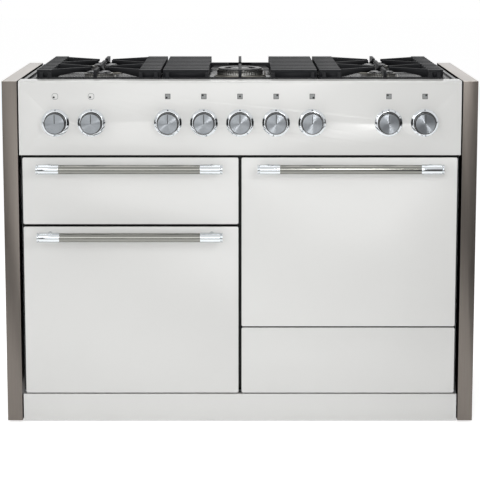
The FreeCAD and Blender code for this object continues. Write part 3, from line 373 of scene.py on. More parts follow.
# %% Rows of rings to a mesh
def skin_of(rows, poles=(None, None), looped=False):
    """Shape from rings: quads join each ring to the next; a pole closes an end with a fan; looped joins the ends."""
    rows = np.asarray(rows, float)
    count, size = rows.shape[:2]
    steps = np.arange(count if looped else count - 1)[:, None]
    turn = np.arange(size)[None, :]
    here, there = steps * size, (steps + 1) % count * size
    quads = np.stack([here + turn, here + (turn + 1) % size, there + (turn + 1) % size, there + turn], axis=-1)
    points = rows.reshape(-1, 3)
    faces = quads.reshape(-1, 4).tolist()
    for end, pole in enumerate(poles):
        if pole is None:
            continue
        first = 0 if end == 0 else (count - 1) * size
        around = np.arange(size)
        fan = np.stack([np.full(size, len(points)), first + (around + 1) % size, first + around], axis=-1)
        faces += (fan if end == 0 else fan[:, [0, 2, 1]]).tolist()
        points = np.vstack([points, pole])
    return points, faces


def volume_sign(points, faces):
    """Sum over fan triangles of a dot (b cross c): positive when the faces of a closed shape point outwards."""
    total = 0.0
    for size in {len(face) for face in faces}:
        ring = points[np.array([face for face in faces if len(face) == size])]
        for i in range(1, size - 1):
            total += np.einsum("ij,ij->", ring[:, 0], np.cross(ring[:, i], ring[:, i + 1]))
    return total


SHARP_ANGLE = math.radians(35)  # faces that meet at more than this show an edge


def piece(name, shapes, material, body, stands_for=()):
    """One object from several shapes: faces outwards, smooth up to the sharp angle, riding on its CAD body."""
    points, faces, start = [], [], 0
    for shape_points, shape_faces in shapes:
        if volume_sign(shape_points - shape_points.mean(axis=0), shape_faces) < 0:
            shape_faces = [face[::-1] for face in shape_faces]
        points.append(shape_points)
        faces += [[v + start for v in face] for face in shape_faces]
        start += len(shape_points)
    mesh = bpy.data.meshes.new(name)
    mesh.from_pydata(np.vstack(points).tolist(), [], faces)
    mesh.shade_smooth()
    mesh.set_sharp_from_angle(angle=SHARP_ANGLE)
    mesh.materials.append(material)
    made = bpy.data.objects.new(name, mesh)
    bpy.context.scene.collection.objects.link(made)
    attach(made, body)
    if stands_for:
        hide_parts(*stands_for)
    return made


def turned(profile, centre, axis, sides=48):
    """Solid of revolution: each (radius, height) is a ring about the axis; radius 0 at an end closes it in a point."""
    centre, axis = np.array(centre, float), np.array(axis, float)
    across = np.cross(axis, [0, 0, 1.0] if abs(axis[2]) < 0.5 else [1.0, 0, 0])
    up = np.cross(across, axis)
    angle = np.linspace(0, 2 * np.pi, sides, endpoint=False)[None, :, None]
    profile = np.array(profile, float)
    ends = [centre + axis * h if r == 0 else None for r, h in (profile[0], profile[-1])]
    body = profile[int(ends[0] is not None): len(profile) - int(ends[1] is not None)]
    radius, height = body[:, 0][:, None, None], body[:, 1][:, None, None]
    rows = centre + axis * height + radius * (np.cos(angle) * across + np.sin(angle) * up)
    return skin_of(rows, ends, looped=ends[0] is None and ends[1] is None)


ARC_POINTS = 4


def rounded(corners, bite):
    """A profile with its corners cut by small arcs bite metres long: (1 - t)^2 a + 2t (1 - t) corner + t^2 b."""
    corners = np.array(corners, float)
    t = np.linspace(0, 1, ARC_POINTS)[:, None]
    out = [corners[:1]]
    for before, corner, after in zip(corners, corners[1:], corners[2:]):
        a = corner + (before - corner) * min(0.5, bite / np.linalg.norm(before - corner))
        b = corner + (after - corner) * min(0.5, bite / np.linalg.norm(after - corner))
        out.append((1 - t) ** 2 * a + 2 * t * (1 - t) * corner + t ** 2 * b)
    return np.vstack(out + [corners[-1:]])


print("helpers ready for turned shapes")

# %% [markdown]
# ## Soft edges on the pressed and cast parts
#
# A CAD edge is perfectly sharp and never catches light. Pressed enamel fronts turn over a few millimetres, cast iron
# is ground to a fraction of one. The CAD mesh is copied, its loose triangles merged, flat neighbours joined in one
# face, and a Bevel modifier rounds the outer edges that are left. Inner corners stay sharp, because rounding fills
# them, and the hinge arms need the whole of their slots. The CAD node stays for collision and is hidden.

# %% Softened copies
SAME_PLACE = 0.00002            # metres: corners nearer than this are one
SAME_PLANE = math.radians(0.5)  # neighbours that turn by less become one face


def softened(node, body, width):
    """Copy of a CAD node whose outer sharp edges are rounded by width metres; its inner corners stay."""
    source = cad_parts[node]
    shape = bmesh.new()
    shape.from_mesh(source.data)
    bmesh.ops.remove_doubles(shape, verts=shape.verts, dist=SAME_PLACE)
    bmesh.ops.dissolve_limit(shape, angle_limit=SAME_PLANE, verts=shape.verts, edges=shape.edges)
    shape.normal_update()
    weight = shape.edges.layers.float.new("bevel_weight_edge")
    for edge in shape.edges:
        if edge.is_manifold and edge.is_convex and edge.calc_face_angle() > SHARP_ANGLE:
            edge[weight] = 1.0
    mesh = bpy.data.meshes.new(node + "_soft")
    shape.to_mesh(mesh)
    shape.free()
    mesh.materials.append(source.data.materials[0])
    mesh.shade_smooth()
    made = bpy.data.objects.new(node + "_soft", mesh)
    bpy.context.scene.collection.objects.link(made)
    bevel = made.modifiers.new("edges", "BEVEL")
    bevel.width, bevel.segments, bevel.limit_method = width, 3, "WEIGHT"
    bevel.harden_normals, bevel.use_clamp_overlap = True, True
    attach(made, body)
    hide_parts(node)
    return made


SOFT_NODES = [
    ("left_oven_door_panel", "left_oven_door", "white_enamel", 0.0025),
    ("right_oven_door_panel", "right_oven_door", "white_enamel", 0.0025),
    ("grill_front", "grill_slide", "white_enamel", 0.0025),
    ("drawer_front", "storage_drawer", "white_enamel", 0.0025),
    ("control_panel", "cooker_body", "white_enamel", 0.0015),
    ("plinth", "cooker_body", "white_enamel", 0.0015),
    ("side_panel_left", "cooker_body", "stainless_steel", 0.0012),
    ("side_panel_right", "cooker_body", "stainless_steel", 0.0012),
    ("pan_support_left", "left_pan_support", "cast_iron", 0.0009),
    ("pan_support_centre", "centre_pan_support", "cast_iron", 0.0009),
    ("pan_support_right", "right_pan_support", "cast_iron", 0.0009),
    ("hob_tray", "cooker_body", "black_enamel", 0.0008),
]
for node, body, slot, width in SOFT_NODES:
    made = softened(node, body, width)
    print(node, len(made.data.polygons), "faces before the bevel")

# %% [markdown]
# ## Bar handles
#
# A handle is a satin tube between two plated collars, each screwed to a post that stands on the door. All three are
# turned parts, so each is a profile spun about an axis: the tube and collars about the bar's axis, the posts about
# the line into the door.

# %% Handle tubes, collars and posts
HANDLE_TUBE = 0.0115    # radii
HANDLE_COLLAR = 0.0126
POST = 0.006
COLLAR_LONG = 0.057
TUBE_STARTS = 0.98      # of the collar's length: the tube ends inside the collars
GROOVE = 0.0016
OUTWARD = (0, -1, 0)    # from the door fronts to the room


def bar_handle(node, body):
    """Tube along X between the collars; a collar is a drum grooved near its end; a post runs from it to the door."""
    low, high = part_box(node)
    y, z = low.y + HANDLE_COLLAR, (low.z + high.z) / 2
    start = low.x + COLLAR_LONG * TUBE_STARTS
    long = high.x - COLLAR_LONG * TUBE_STARTS - start
    tube = turned([(0, 0), (HANDLE_TUBE, 0), (HANDLE_TUBE, long), (0, long)], (start, y, z), (1, 0, 0), 64)
    r = HANDLE_COLLAR
    drum = rounded([(0, 0.0006), (r * 0.8, 0.0002), (r, 0.0002), (r, 0.003), (r - GROOVE, 0.0034),
                    (r - GROOVE, 0.0052), (r, 0.0056), (r, COLLAR_LONG), (HANDLE_TUBE, COLLAR_LONG),
                    (0, COLLAR_LONG)], 0.0009)
    foot = rounded([(0, 0), (POST * 1.2, 0), (POST * 1.2, 0.002), (POST * 0.9, 0.004),
                    (POST * 0.9, 0.03), (POST, 0.04), (0, 0.04)], 0.0012)
    collars, posts = [], []
    for end, way in ((low.x, 1), (high.x, -1)):
        collars.append(turned(drum, (end, y, z), (way, 0, 0), 64))
        posts.append(turned(foot, (end + way * COLLAR_LONG / 2, FRONT, z), OUTWARD))
    made = [piece(node + "_tube", [tube], bar_steel, body, (node,)),
            piece(node + "_collars", collars, chrome, body),
            piece(node + "_posts", posts, chrome, body)]
    return [part.name for part in made]


for node, body in (("left_oven_handle", "left_oven_door"), ("right_oven_handle", "right_oven_door"),
                   ("grill_handle", "grill_slide")):
    print(bar_handle(node, body))

# %% [markdown]
# ## Spun knobs
#
# A knob is a drum with a spun aluminium disc let into its face and a black line from the centre to the rim. The drum
# is coloured black: painted shade for its side, which lies in shadow. Spinning leaves fine rings, and rings scatter
# light across themselves: that is the bright cross on every such disc. The shader's anisotropy with a radial tangent
# gives the cross in the right place from any side.

# %% Spun aluminium
QUARTER_TURN = 0.25  # the grooves run round the disc, at right angles to the radial tangent
spun_aluminium, spun_shader = finish_named("aluminium_disc_spun")
ring_place = add(spun_aluminium, "ShaderNodeTexCoord")
fine = add(spun_aluminium, "ShaderNodeTexNoise", {"Vector": ring_place.outputs["Object"], "Scale": per_metre(3),
                                                  "Detail": 2.0})
spun_tone = add(spun_aluminium, "ShaderNodeMix", {0: fine.outputs["Fac"], COLOUR_A: linear("#878b8f"),
                                                  COLOUR_B: linear("#979b9f")}, data_type="RGBA")
spun_aluminium.node_tree.links.new(spun_tone.outputs[COLOUR_OUT], spun_shader.inputs["Base Color"])
radial = add(spun_aluminium, "ShaderNodeTangent", direction_type="RADIAL", axis="Y")
spun_aluminium.node_tree.links.new(radial.outputs[0], spun_shader.inputs["Tangent"])
for socket, value in (("Metallic", 1.0), ("Roughness", 0.33), ("Anisotropic", 1.0),
                      ("Anisotropic Rotation", QUARTER_TURN)):
    spun_shader.inputs[socket].default_value = value
print("finish:", spun_aluminium.name)

# %% Knobs
DRUM_SUNK = 0.0008    # the drum's face lies this far under the knob's front
DISC_INSET = 0.0021   # and the disc leaves this much of it bare
POINTER_WIDE, POINTER_THICK = 0.0019, 0.00018


def line_plate(start, end, width, thick):
    """A thin bar from start to end in a plane that faces -Y: a prism with half-round ends."""
    start, end = np.array(start, float), np.array(end, float)
    along = (end - start) / np.linalg.norm(end - start)
    side = np.cross(along, [0, 1.0, 0])
    arc = np.linspace(-np.pi / 2, np.pi / 2, 7)[:, None]
    tip = end + width / 2 * (np.cos(arc) * along + np.sin(arc) * side)
    tail = start - width / 2 * (np.cos(arc) * along + np.sin(arc) * side)
    outline = np.vstack([tip, tail])
    front = outline + [0, -thick, 0]
    return skin_of([outline, front], (outline.mean(axis=0), front.mean(axis=0)))


for knob in KNOBS:  # a knob's body has the name of its node
    low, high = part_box(knob)
    x, z, r, deep = (low.x + high.x) / 2, (low.z + high.z) / 2, (high.x - low.x) / 2, high.y - low.y
    drum = rounded([(0, 0), (r * 0.97, 0), (r, 0.001), (r, deep - 0.004), (r - 0.0012, deep - 0.0006),
                    (r - 0.0014, deep - DRUM_SUNK), (0, deep - DRUM_SUNK)], 0.0006)
    # the drum's black is painted shade for its side
    piece(knob + "_drum", [turned(drum, (x, high.y, z), OUTWARD, 64)], black_plastic_and_knob_shade, knob, (knob,))
    edge = r - DISC_INSET
    disc = rounded([(0, deep - 0.002), (edge, deep - 0.002), (edge, deep - 0.0006), (edge - 0.0006, deep - 0.0002),
                    (0, deep - 0.0002)], 0.0003)
    piece(knob + "_disc", [turned(disc, (x, high.y, z), OUTWARD, 64)], spun_aluminium, knob)
    face = low.y + 0.0003
    pointer = line_plate((x, face, z + 0.001), (x, face, z + r * 0.84), POINTER_WIDE, POINTER_THICK)
    piece(knob + "_pointer", [pointer], ink, knob)
print(len(KNOBS), "knobs")

# %% [markdown]
# ## Bezels and their marks
#
# Round each knob lies a plated ring with a sloped face. Its marks are printed on that slope, so each mark is drawn
# flat first, as an angle round the ring and a share of the way down the slope, and then laid on the cone. The gap
# between ring and knob is filled by a black ring: painted shade, where that gap lies in shadow.

# %% Bezels
BEZEL_BORE = 0.0285
BEZEL_RADIUS = 0.035
BEZEL_DEPTH = 0.0054
OFF_PANEL = 0.0002  # rings and washers start a hair off the panel
SLOPE_TOP = np.array([BEZEL_BORE + 0.0009, BEZEL_DEPTH])  # radius and height of the slope's two ends
SLOPE_FOOT = np.array([BEZEL_RADIUS, 0.0009])
GAP_SHADE_RING = (BEZEL_BORE - 0.0055, BEZEL_BORE + 0.0002, 0.0014)  # inner radius, outer radius, height
KNOB_HEIGHT = sum(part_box("oven_knob_1")[i].z for i in (0, 1)) / 2
KNOB_X = [sum(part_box(node)[i].x for i in (0, 1)) / 2 for node in sorted(KNOBS, key=lambda name: name[-1])]

slope = rounded([(BEZEL_BORE, OFF_PANEL), (BEZEL_RADIUS, OFF_PANEL), SLOPE_FOOT, SLOPE_TOP,
                 (BEZEL_BORE, BEZEL_DEPTH)], 0.0006)
bezels = [turned(slope, (x, FRONT, KNOB_HEIGHT), OUTWARD, 96) for x in KNOB_X]
piece("knob_bezels_plated", bezels, chrome, "cooker_body", ("knob_bezels",))
# painted shade: black rings fill the gaps between bezels and knobs, where shadow lies
bore, rim, tall = GAP_SHADE_RING
shade_ring = [(bore, OFF_PANEL), (rim, OFF_PANEL), (rim, tall), (bore, tall)]
shade_rings = [turned(shade_ring, (x, FRONT, KNOB_HEIGHT), OUTWARD, 64) for x in KNOB_X]
piece("knob_washers", shade_rings, black_plastic_and_knob_shade, "cooker_body")
print("knob centres", [round(x, 3) for x in KNOB_X])

# %% Marks on the slopes
MM = 0.001
PLATE_TALL, PLATE_SUNK = 0.12, 0.05  # millimetres above and below the surface that carries a mark


def on_slope(points, faces, x, angle):
    """Flat millimetres to the cone: along the ring is an angle, down the slope a share of its length."""
    middle = (SLOPE_TOP + SLOPE_FOOT) / 2
    down = (SLOPE_FOOT - SLOPE_TOP) / np.linalg.norm(SLOPE_FOOT - SLOPE_TOP)
    out = np.array([-down[1], down[0]])
    out = out if out[0] > 0 else -out
    turn = angle + points[:, 0] * MM / middle[0]
    place = middle + np.outer(-points[:, 1] * MM, down) + np.outer(points[:, 2] * MM, out)
    spot = np.stack([x + place[:, 0] * np.sin(turn), FRONT - place[:, 1],
                     KNOB_HEIGHT + place[:, 0] * np.cos(turn)], axis=-1)
    return spot, faces


def slab(outline, thick=PLATE_TALL):
    """A flat outline made a thin plate: one ring below the surface, one above, both closed."""
    outline = np.asarray(outline, float)
    low = np.column_stack([outline, np.full(len(outline), -PLATE_SUNK)])
    high = np.column_stack([outline, np.full(len(outline), thick)])
    return skin_of([low, high], (low.mean(axis=0), high.mean(axis=0)))


def disc_outline(radius, centre=(0, 0)):
    """Circle of that radius: centre + r (cos t, sin t)."""
    t = np.linspace(0, 2 * np.pi, 20, endpoint=False)
    return np.array(centre) + radius * np.stack([np.cos(t), np.sin(t)], axis=-1)


def box_outline(width, height, corner=0.2, steps=4):
    """Rectangle with round corners: quarter circles about its four inner corners."""
    quarter = np.linspace(0, np.pi / 2, steps)
    arcs = []
    for k, (sx, sy) in enumerate([(1, 1), (-1, 1), (-1, -1), (1, -1)]):
        t = quarter + k * np.pi / 2
        arcs.append(np.stack([sx * (width / 2 - corner) + corner * np.cos(t),
                              sy * (height / 2 - corner) + corner * np.sin(t)], axis=-1))
    return np.vstack(arcs)


def flame_outline(size):
    """A flame: a drop whose width shrinks with height, (0.5 sin t (1 + cos t), -cos t) for t once round."""
    t = np.linspace(0, 2 * np.pi, 24, endpoint=False)
    return size * np.stack([0.504 * np.sin(t) * (1 + np.cos(t)), -np.cos(t)], axis=-1)


def number_shape(text, tall):
    """A number as a thin plate of that height in millimetres, centred: the font's curves made a mesh."""
    curve = bpy.data.curves.new("number", "FONT")
    curve.body, curve.size, curve.extrude = text, 1.4 * tall, PLATE_TALL / 2  # digits are 0.7 of the font's size
    curve.align_x, curve.align_y, curve.resolution_u = "CENTER", "CENTER", 3
    holder = bpy.data.objects.new("number", curve)
    bpy.context.scene.collection.objects.link(holder)
    bpy.context.view_layer.update()
    flat = bpy.data.meshes.new_from_object(holder)
    places = np.empty(3 * len(flat.vertices), np.float32)
    flat.vertices.foreach_get("co", places)
    faces = [list(face.vertices) for face in flat.polygons]
    bpy.data.objects.remove(holder)
    return places.reshape(-1, 3) + [0, 0, PLATE_SUNK], faces


OFF_DOT, OFF_TICK = 1.9, (2.0, 4.6)    # millimetres: the mark at the top of each bezel
FULL_FLAME, LOW_FLAME = 3.0, 1.8       # half heights of a gas knob's two flames
DIGIT_TALL, PROGRAMME_MARK = 2.9, 2.6
TEMPERATURES = ("50", "100", "150", "200", "250")
marks = []
for number, x in enumerate(KNOB_X, 1):
    gas = number in GAS_NUMBERS
    outline = disc_outline(OFF_DOT) if gas else box_outline(*OFF_TICK)
    marks.append(on_slope(*slab(outline), x, 0.0))
    if gas:
        marks.append(on_slope(*slab(flame_outline(FULL_FLAME)), x, -math.pi / 2))
        marks.append(on_slope(*slab(flame_outline(LOW_FLAME)), x, math.radians(75)))
    if number in (2, 9):  # the two oven thermostats, one the mirror image of the other
        side = 1 if number == 2 else -1
        for k, text in enumerate(TEMPERATURES):
            angle = side * math.radians(80 + 22 * k)
            marks.append(on_slope(*number_shape(text, DIGIT_TALL), x, angle))
    if number == 8:  # the programme switch: three marks on each side of the top
        for k in range(6):
            angle = math.radians(-75 + 30 * k + (15 if k > 2 else -15))
            marks.append(on_slope(*slab(box_outline(PROGRAMME_MARK, PROGRAMME_MARK)), x, angle))
piece("bezel_marks", marks, ink, "cooker_body")
print(len(marks), "marks on the slopes")

# %% [markdown]
# ## Symbols on the panel
#
# Over each knob a fired symbol tells what it serves: a square for the whole cooker with a dot at one place on it.
# They are outlines, so each is a thin plate on the face of the panel, a tenth of a millimetre thick.

# %% Panel symbols
SYMBOL_HEIGHT = 0.845
ROUND_SYMBOL = (15.5, 1.1, 5.5)   # side, line and corner radius in millimetres
SQUARE_SYMBOL = (13.6, 1.4, 0.5)
FILL_SIDE, FILL_TALL = 11.2, 0.08
DOT_RADIUS, DOT_TALL = 2.6, 0.16


def on_panel(points, faces, x, z):
    """Flat millimetres laid on the panel's face, which looks along -Y."""
    return np.stack([x + points[:, 0] * MM, FRONT - points[:, 2] * MM, z + points[:, 1] * MM], axis=-1), faces


def ring_plate(side, line, corner):
    """The outline of a rounded square: four rings, outer low, outer high, inner high, inner low, joined in a loop."""
    outer = box_outline(side, side, corner=corner, steps=6)
    inner = box_outline(side - 2 * line, side - 2 * line, corner=max(corner - line, 0.1), steps=6)
    levels = [(outer, -PLATE_SUNK), (outer, PLATE_TALL), (inner, PLATE_TALL), (inner, -PLATE_SUNK)]
    return skin_of([np.column_stack([ring, np.full(len(ring), level)]) for ring, level in levels], looped=True)


# where the dot of each knob's symbol lies, in millimetres from the middle of the square
DOT_PLACES = {1: (-3.0, -2.3), 2: (-2.6, -2.0), 3: (-2.9, -2.9), 4: (-2.9, 2.9), 5: (0, 0), 6: (2.9, 2.9),
              7: (2.9, -2.9), 8: (-2.9, 2.9), 9: (2.9, 2.9)}
dots, outlines, fills = [], [], []
for number, x in enumerate(KNOB_X, 1):
    if number in (1, 2):
        fills.append(on_panel(*ring_plate(*ROUND_SYMBOL), x, SYMBOL_HEIGHT))
    else:
        outlines.append(on_panel(*ring_plate(*SQUARE_SYMBOL), x, SYMBOL_HEIGHT))
        fills.append(on_panel(*slab(box_outline(FILL_SIDE, FILL_SIDE), FILL_TALL), x, SYMBOL_HEIGHT))
    dots.append(on_panel(*slab(disc_outline(DOT_RADIUS, DOT_PLACES[number]), DOT_TALL), x, SYMBOL_HEIGHT))
for name, plates, finish in (("dots", dots, ink), ("outlines", outlines, grey_ink), ("fills", fills, pale_ink)):
    piece("panel_symbol_" + name, plates, finish, "cooker_body")
print("symbols over", len(KNOB_X), "knobs")

# %% [markdown]
# ## Burners
#
# A burner is a dished bowl, a die-cast head whose rim is a crown of ports, and an enamelled cap. The crown is the
# part to look at: its radius is a wave of the angle, r(t) = r0 - d (1 + cos nt) / 2, so it has n ribs with a port
# between each two, and the wave fades at the foot and under the cap. Beside each head stands a spark electrode of
# white glazed alumina, the one pale spot on the hob, with a steel pin. Heat has toned the bowls a grey brown.

# %% Heads, caps, bowls and electrodes
BOWL_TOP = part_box("burner_heads")[0].z
HEAD_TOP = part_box("burner_heads")[1].z
CAP_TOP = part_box("burner_caps")[1].z
WOK_Y = FRONT + 0.310
SIDE_X = 0.370
SIDE_Y = (FRONT + 0.190, FRONT + 0.430)
BURNERS = [(0.0, WOK_Y, True)] + [(side * SIDE_X, y, False) for side in (-1, 1) for y in SIDE_Y]

# radii in metres, for the wok burner (True) and for the four others (False)
HEAD_RADIUS = {True: 0.062, False: 0.038}
CAP_RADIUS = {True: 0.026, False: 0.032}
BOWL_RIM = {True: 0.070, False: 0.050}
BOWL_SEAT = {True: 0.0655, False: 0.0415}
WOK_INNER, WOK_CORE, WOK_LID = 0.042, 0.0283, 0.0595  # the wok burner's hole, its middle head and its ring lid
CREST_INSET = 0.0004  # the ribs stay this far inside the head's radius
PORT_DEPTH = 0.0016   # from the top of a rib to the bottom of a port
CROWN_SIDES = 288


def crown(x, y, outer, inner, ribs):
    """Ribbed wall: the radius is outer minus the port depth times (1 + cos(ribs t)) / 2 and a window over the height.

    The window rises from 0 at 12% of the height to 1 at 30%, and falls from 1 at 72% to 0 at 90%.
    """
    t = np.linspace(0, 2 * np.pi, CROWN_SIDES, endpoint=False)[None, :]
    tall = HEAD_TOP - BOWL_TOP
    share = np.array([0.0, 0.12, 0.2, 0.3, 0.72, 0.82, 0.9, 1.0])[:, None]
    window = np.clip(np.minimum((share - 0.12) / 0.18, (0.9 - share) / 0.18), 0, 1)
    radius = outer - CREST_INSET - PORT_DEPTH * window * (1 + np.cos(ribs * t)) / 2
    z = BOWL_TOP + tall * share + 0 * t
    wall = np.stack([x + radius * np.cos(t), y + radius * np.sin(t), z], axis=-1)
    if inner:
        hole = inner + 0 * t
        ring_in = [np.stack([x + hole * np.cos(t), y + hole * np.sin(t), level + 0 * t], axis=-1)
                   for level in (HEAD_TOP, BOWL_TOP)]
        return skin_of(np.concatenate([wall] + ring_in), looped=True)
    return skin_of(wall, ((x, y, BOWL_TOP), (x, y, HEAD_TOP)))


UP = (0, 0, 1)
CAP_TALL = CAP_TOP - HEAD_TOP
post = rounded([(0, 0), (0.0024, 0), (0.0024, 0.0105), (0.0014, 0.0118), (0, 0.0118)], 0.0004)
pin = [(0, 0), (0.0007, 0), (0.0007, 0.004), (0, 0.0042)]
lid = rounded([(WOK_INNER, 0), (WOK_LID, 0), (WOK_LID, 0.0025), (WOK_LID - 0.002, CAP_TALL),
               (WOK_INNER + 0.002, CAP_TALL), (WOK_INNER, 0.0025), (WOK_INNER, 0)], 0.0012)[:-1]
heads, caps, bowls, ceramic, tips = [], [], [], [], []
for x, y, wok in BURNERS:
    if wok:
        heads += [crown(x, y, HEAD_RADIUS[wok], WOK_INNER, 56), crown(x, y, WOK_CORE, 0, 24)]
        caps.append(turned(lid, (x, y, HEAD_TOP), UP, 64))
    else:
        heads.append(crown(x, y, HEAD_RADIUS[wok], 0, 32))
    r = CAP_RADIUS[wok]
    cap = rounded([(0, 0), (r, 0), (r, 0.0022), (r - 0.003, CAP_TALL - 0.0003), (r * 0.5, CAP_TALL), (0, CAP_TALL)],
                  0.0012)
    caps.append(turned(cap, (x, y, HEAD_TOP), UP, 64))
    rim, seat = BOWL_RIM[wok], BOWL_SEAT[wok]
    dish = rounded([(0, 0), (rim, 0), (rim, 0.0012), (rim - 0.003, 0.0024), (seat + 0.0008, 0.0022), (seat, 0.0048),
                    (0, 0.0048)], 0.0012)
    bowls.append(turned(dish, (x, y, BOWL_TOP - 0.005), UP, 64))
    beside = x + HEAD_RADIUS[wok] + 0.005
    ceramic.append(turned(post, (beside, y, BOWL_TOP - 0.004), UP, 16))
    tips.append(turned(pin, (beside, y, BOWL_TOP + 0.0072), UP, 12))

electrode_glaze = moulded("alumina_ceramic_glazed", "#dcdad4", "#e8e6e1", 0.25, 4, 0.00001)
bowl_metal = plain_metal("burner_bowl_aluminium_heat_toned", "#77746d", "#8a877f", 0.38, 6.0, 0.00005)
piece("burner_crowns", heads, cast_aluminium, "cooker_body", ("burner_heads",))
piece("burner_lids", caps, hob_enamel, "cooker_body", ("burner_caps",))
piece("burner_dishes", bowls, bowl_metal, "cooker_body", ("burner_bowls",))
piece("spark_ceramics", ceramic, electrode_glaze, "cooker_body")
piece("spark_pins", tips, runner_steel, "cooker_body")
print(len(heads), "crowns,", len(caps), "caps")

# %% [markdown]
# ## Studio
#
# A plain pale floor catches the shadow. The background is white to the camera and in reflections only, by the Light
# Path node, while the light that falls on the cooker comes from a grey world, three large soft lamps and a small one
# near the panel. A studio is darker on the side of the camera, so metal that faces it mirrors a dimmed room there: the
# floor fades by its place and the world by direction, whichever way the camera looks.

# %% Floor
FLOOR_SIDE = 40
FLOOR_UNDER = 0.0005  # metres under the feet
FLOOR_LIFT = 0.66     # this much light of its own makes the lit paper white in the picture
FADE_STARTS, FADE_ENDS = -0.6, -2.2  # Y: the mirrored floor is white as far as the first, dim beyond the second
floor_white, floor_shader = finish_named("studio_floor_paper_matt")
floor_shader.inputs["Roughness"].default_value = 0.9
floor_shader.inputs["Specular IOR Level"].default_value = 0.0
floor_path = add(floor_white, "ShaderNodeLightPath")
floor_place = add(floor_white, "ShaderNodeTexCoord").outputs["Object"]
floor_front = add(floor_white, "ShaderNodeSeparateXYZ", {"Vector": floor_place}).outputs["Y"]
near_share = add(floor_white, "ShaderNodeMapRange", {"Value": floor_front, "From Min": FADE_ENDS,
                                                     "From Max": FADE_STARTS, "To Min": 0.0, "To Max": 1.0},
                 interpolation_type="SMOOTHSTEP")
far_share = add(floor_white, "ShaderNodeMath", {0: 1.0, 1: near_share.outputs[0]}, operation="SUBTRACT")
far_mirrored = add(floor_white, "ShaderNodeMath", {0: floor_path.outputs["Is Glossy Ray"], 1: far_share.outputs[0]},
                   operation="MULTIPLY")
floor_tone = add(floor_white, "ShaderNodeMix", {0: far_mirrored.outputs[0], COLOUR_A: linear("#f7f7f7"),
                                                COLOUR_B: linear("#3c3c3c")}, data_type="RGBA")
floor_white.node_tree.links.new(floor_tone.outputs[COLOUR_OUT], floor_shader.inputs["Base Color"])
mirrored_floor = add(floor_white, "ShaderNodeMath", {0: floor_path.outputs["Is Glossy Ray"], 1: near_share.outputs[0]},
                     operation="MULTIPLY")
floor_seen = add(floor_white, "ShaderNodeMath", {0: floor_path.outputs["Is Camera Ray"], 1: mirrored_floor.outputs[0]},
                 operation="MAXIMUM")
floor_seen = add(floor_white, "ShaderNodeMath", {0: floor_seen.outputs[0],
                                                 1: floor_path.outputs["Is Transmission Ray"]}, operation="MAXIMUM")
floor_lift = add(floor_white, "ShaderNodeMath", {0: floor_seen.outputs[0], 1: FLOOR_LIFT}, operation="MULTIPLY")
floor_shader.inputs["Emission Color"].default_value = linear("#ffffff")
floor_white.node_tree.links.new(floor_lift.outputs[0], floor_shader.inputs["Emission Strength"])

corners = np.array([[-1, -1], [1, -1], [1, 1], [-1, 1]]) * FLOOR_SIDE / 2
sheet = bpy.data.meshes.new("studio_floor")
sheet.from_pydata(np.column_stack([corners, np.full(4, -FLOOR_UNDER)]).tolist(), [], [(0, 1, 2, 3)])
sheet.materials.append(floor_white)
floor = bpy.data.objects.new("studio_floor", sheet)
bpy.context.scene.collection.objects.link(floor)
print("floor", floor.dimensions[:2])

# %% World
AMBIENT = 0.36   # the world's light on the cooker
MOST_DIM = 0.75  # how much of the mirrored room is taken away, low down at the front
world = bpy.data.worlds.new("studio_world")
bpy.context.scene.world = world
world.use_nodes = True
world.node_tree.nodes.clear()
path = add(world, "ShaderNodeLightPath")
toward = add(world, "ShaderNodeSeparateXYZ", {"Vector": add(world, "ShaderNodeTexCoord").outputs["Generated"]})
front_share = add(world, "ShaderNodeMapRange", {"Value": toward.outputs["Y"], "From Min": 0.0, "From Max": -0.5,
                                                "To Min": 0.0, "To Max": MOST_DIM},
                  interpolation_type="SMOOTHSTEP")
low_share = add(world, "ShaderNodeMapRange", {"Value": toward.outputs["Z"], "From Min": 0.1, "From Max": 0.5,
                                              "To Min": 1.0, "To Max": 0.1}, interpolation_type="SMOOTHSTEP")
dimmed = add(world, "ShaderNodeMath", {0: front_share.outputs[0], 1: low_share.outputs[0]}, operation="MULTIPLY")
mirrored = add(world, "ShaderNodeMath", {0: 1.0, 1: dimmed.outputs[0]}, operation="SUBTRACT")
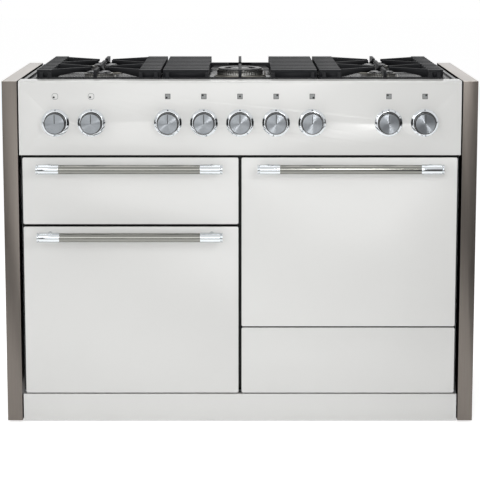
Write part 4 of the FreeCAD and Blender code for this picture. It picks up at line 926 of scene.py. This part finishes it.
seen = add(world, "ShaderNodeMath", {0: path.outputs["Is Camera Ray"], 1: path.outputs["Is Transmission Ray"]},
           operation="MAXIMUM")
ambient = add(world, "ShaderNodeBackground", {"Color": linear("#ffffff"), "Strength": AMBIENT})
backdrop = add(world, "ShaderNodeBackground", {"Color": linear("#ffffff"), "Strength": 1.0})
room = add(world, "ShaderNodeBackground", {"Color": linear("#ffffff"), "Strength": mirrored.outputs[0]})
lit = add(world, "ShaderNodeMixShader", {0: path.outputs["Is Glossy Ray"], 1: ambient.outputs[0], 2: room.outputs[0]})
chosen = add(world, "ShaderNodeMixShader", {0: seen.outputs[0], 1: lit.outputs[0], 2: backdrop.outputs[0]})
add(world, "ShaderNodeOutputWorld", {"Surface": chosen.outputs[0]})
print("world strength on the cooker", AMBIENT)

# %% Lamps
def soft_lamp(name, place, aim, width, height, watts):
    """A rectangular lamp at place that faces aim; the power is in watts over its whole area."""
    light = bpy.data.lights.new(name, "AREA")
    light.shape = "RECTANGLE"
    light.size, light.size_y, light.energy = width, height, watts
    lamp = bpy.data.objects.new(name, light)
    bpy.context.scene.collection.objects.link(lamp)
    lamp.location = place
    direction = np.array(place, float) - np.array(aim, float)
    flat = math.hypot(direction[0], direction[1])
    lamp.rotation_euler = (math.atan2(flat, direction[2]), 0, math.atan2(direction[0], -direction[1]))
    return lamp


# a large key at the left, a fill at door height, one above the hob, and the small one that lights the knobs
lamps = [soft_lamp("key_softbox", (-2.3, -2.6, 1.7), (0, -0.2, 0.5), 3.2, 2.6, 25),
         soft_lamp("fill_softbox", (-0.2, -2.4, 0.75), (0, -0.27, 0.4), 1.4, 1.1, 11),
         soft_lamp("top_softbox", (0, 0.6, 3.4), (0, 0, 0.9), 2.4, 1.4, 30),
         soft_lamp("panel_softbox", (0.34, -1.35, 1.02), (0.1, -0.27, 0.75), 0.24, 0.24, 2.4)]
print("lamps", [lamp.name for lamp in lamps])

# %% Colour view
bpy.context.scene.view_settings.view_transform = "Standard"
bpy.context.view_layer.update()
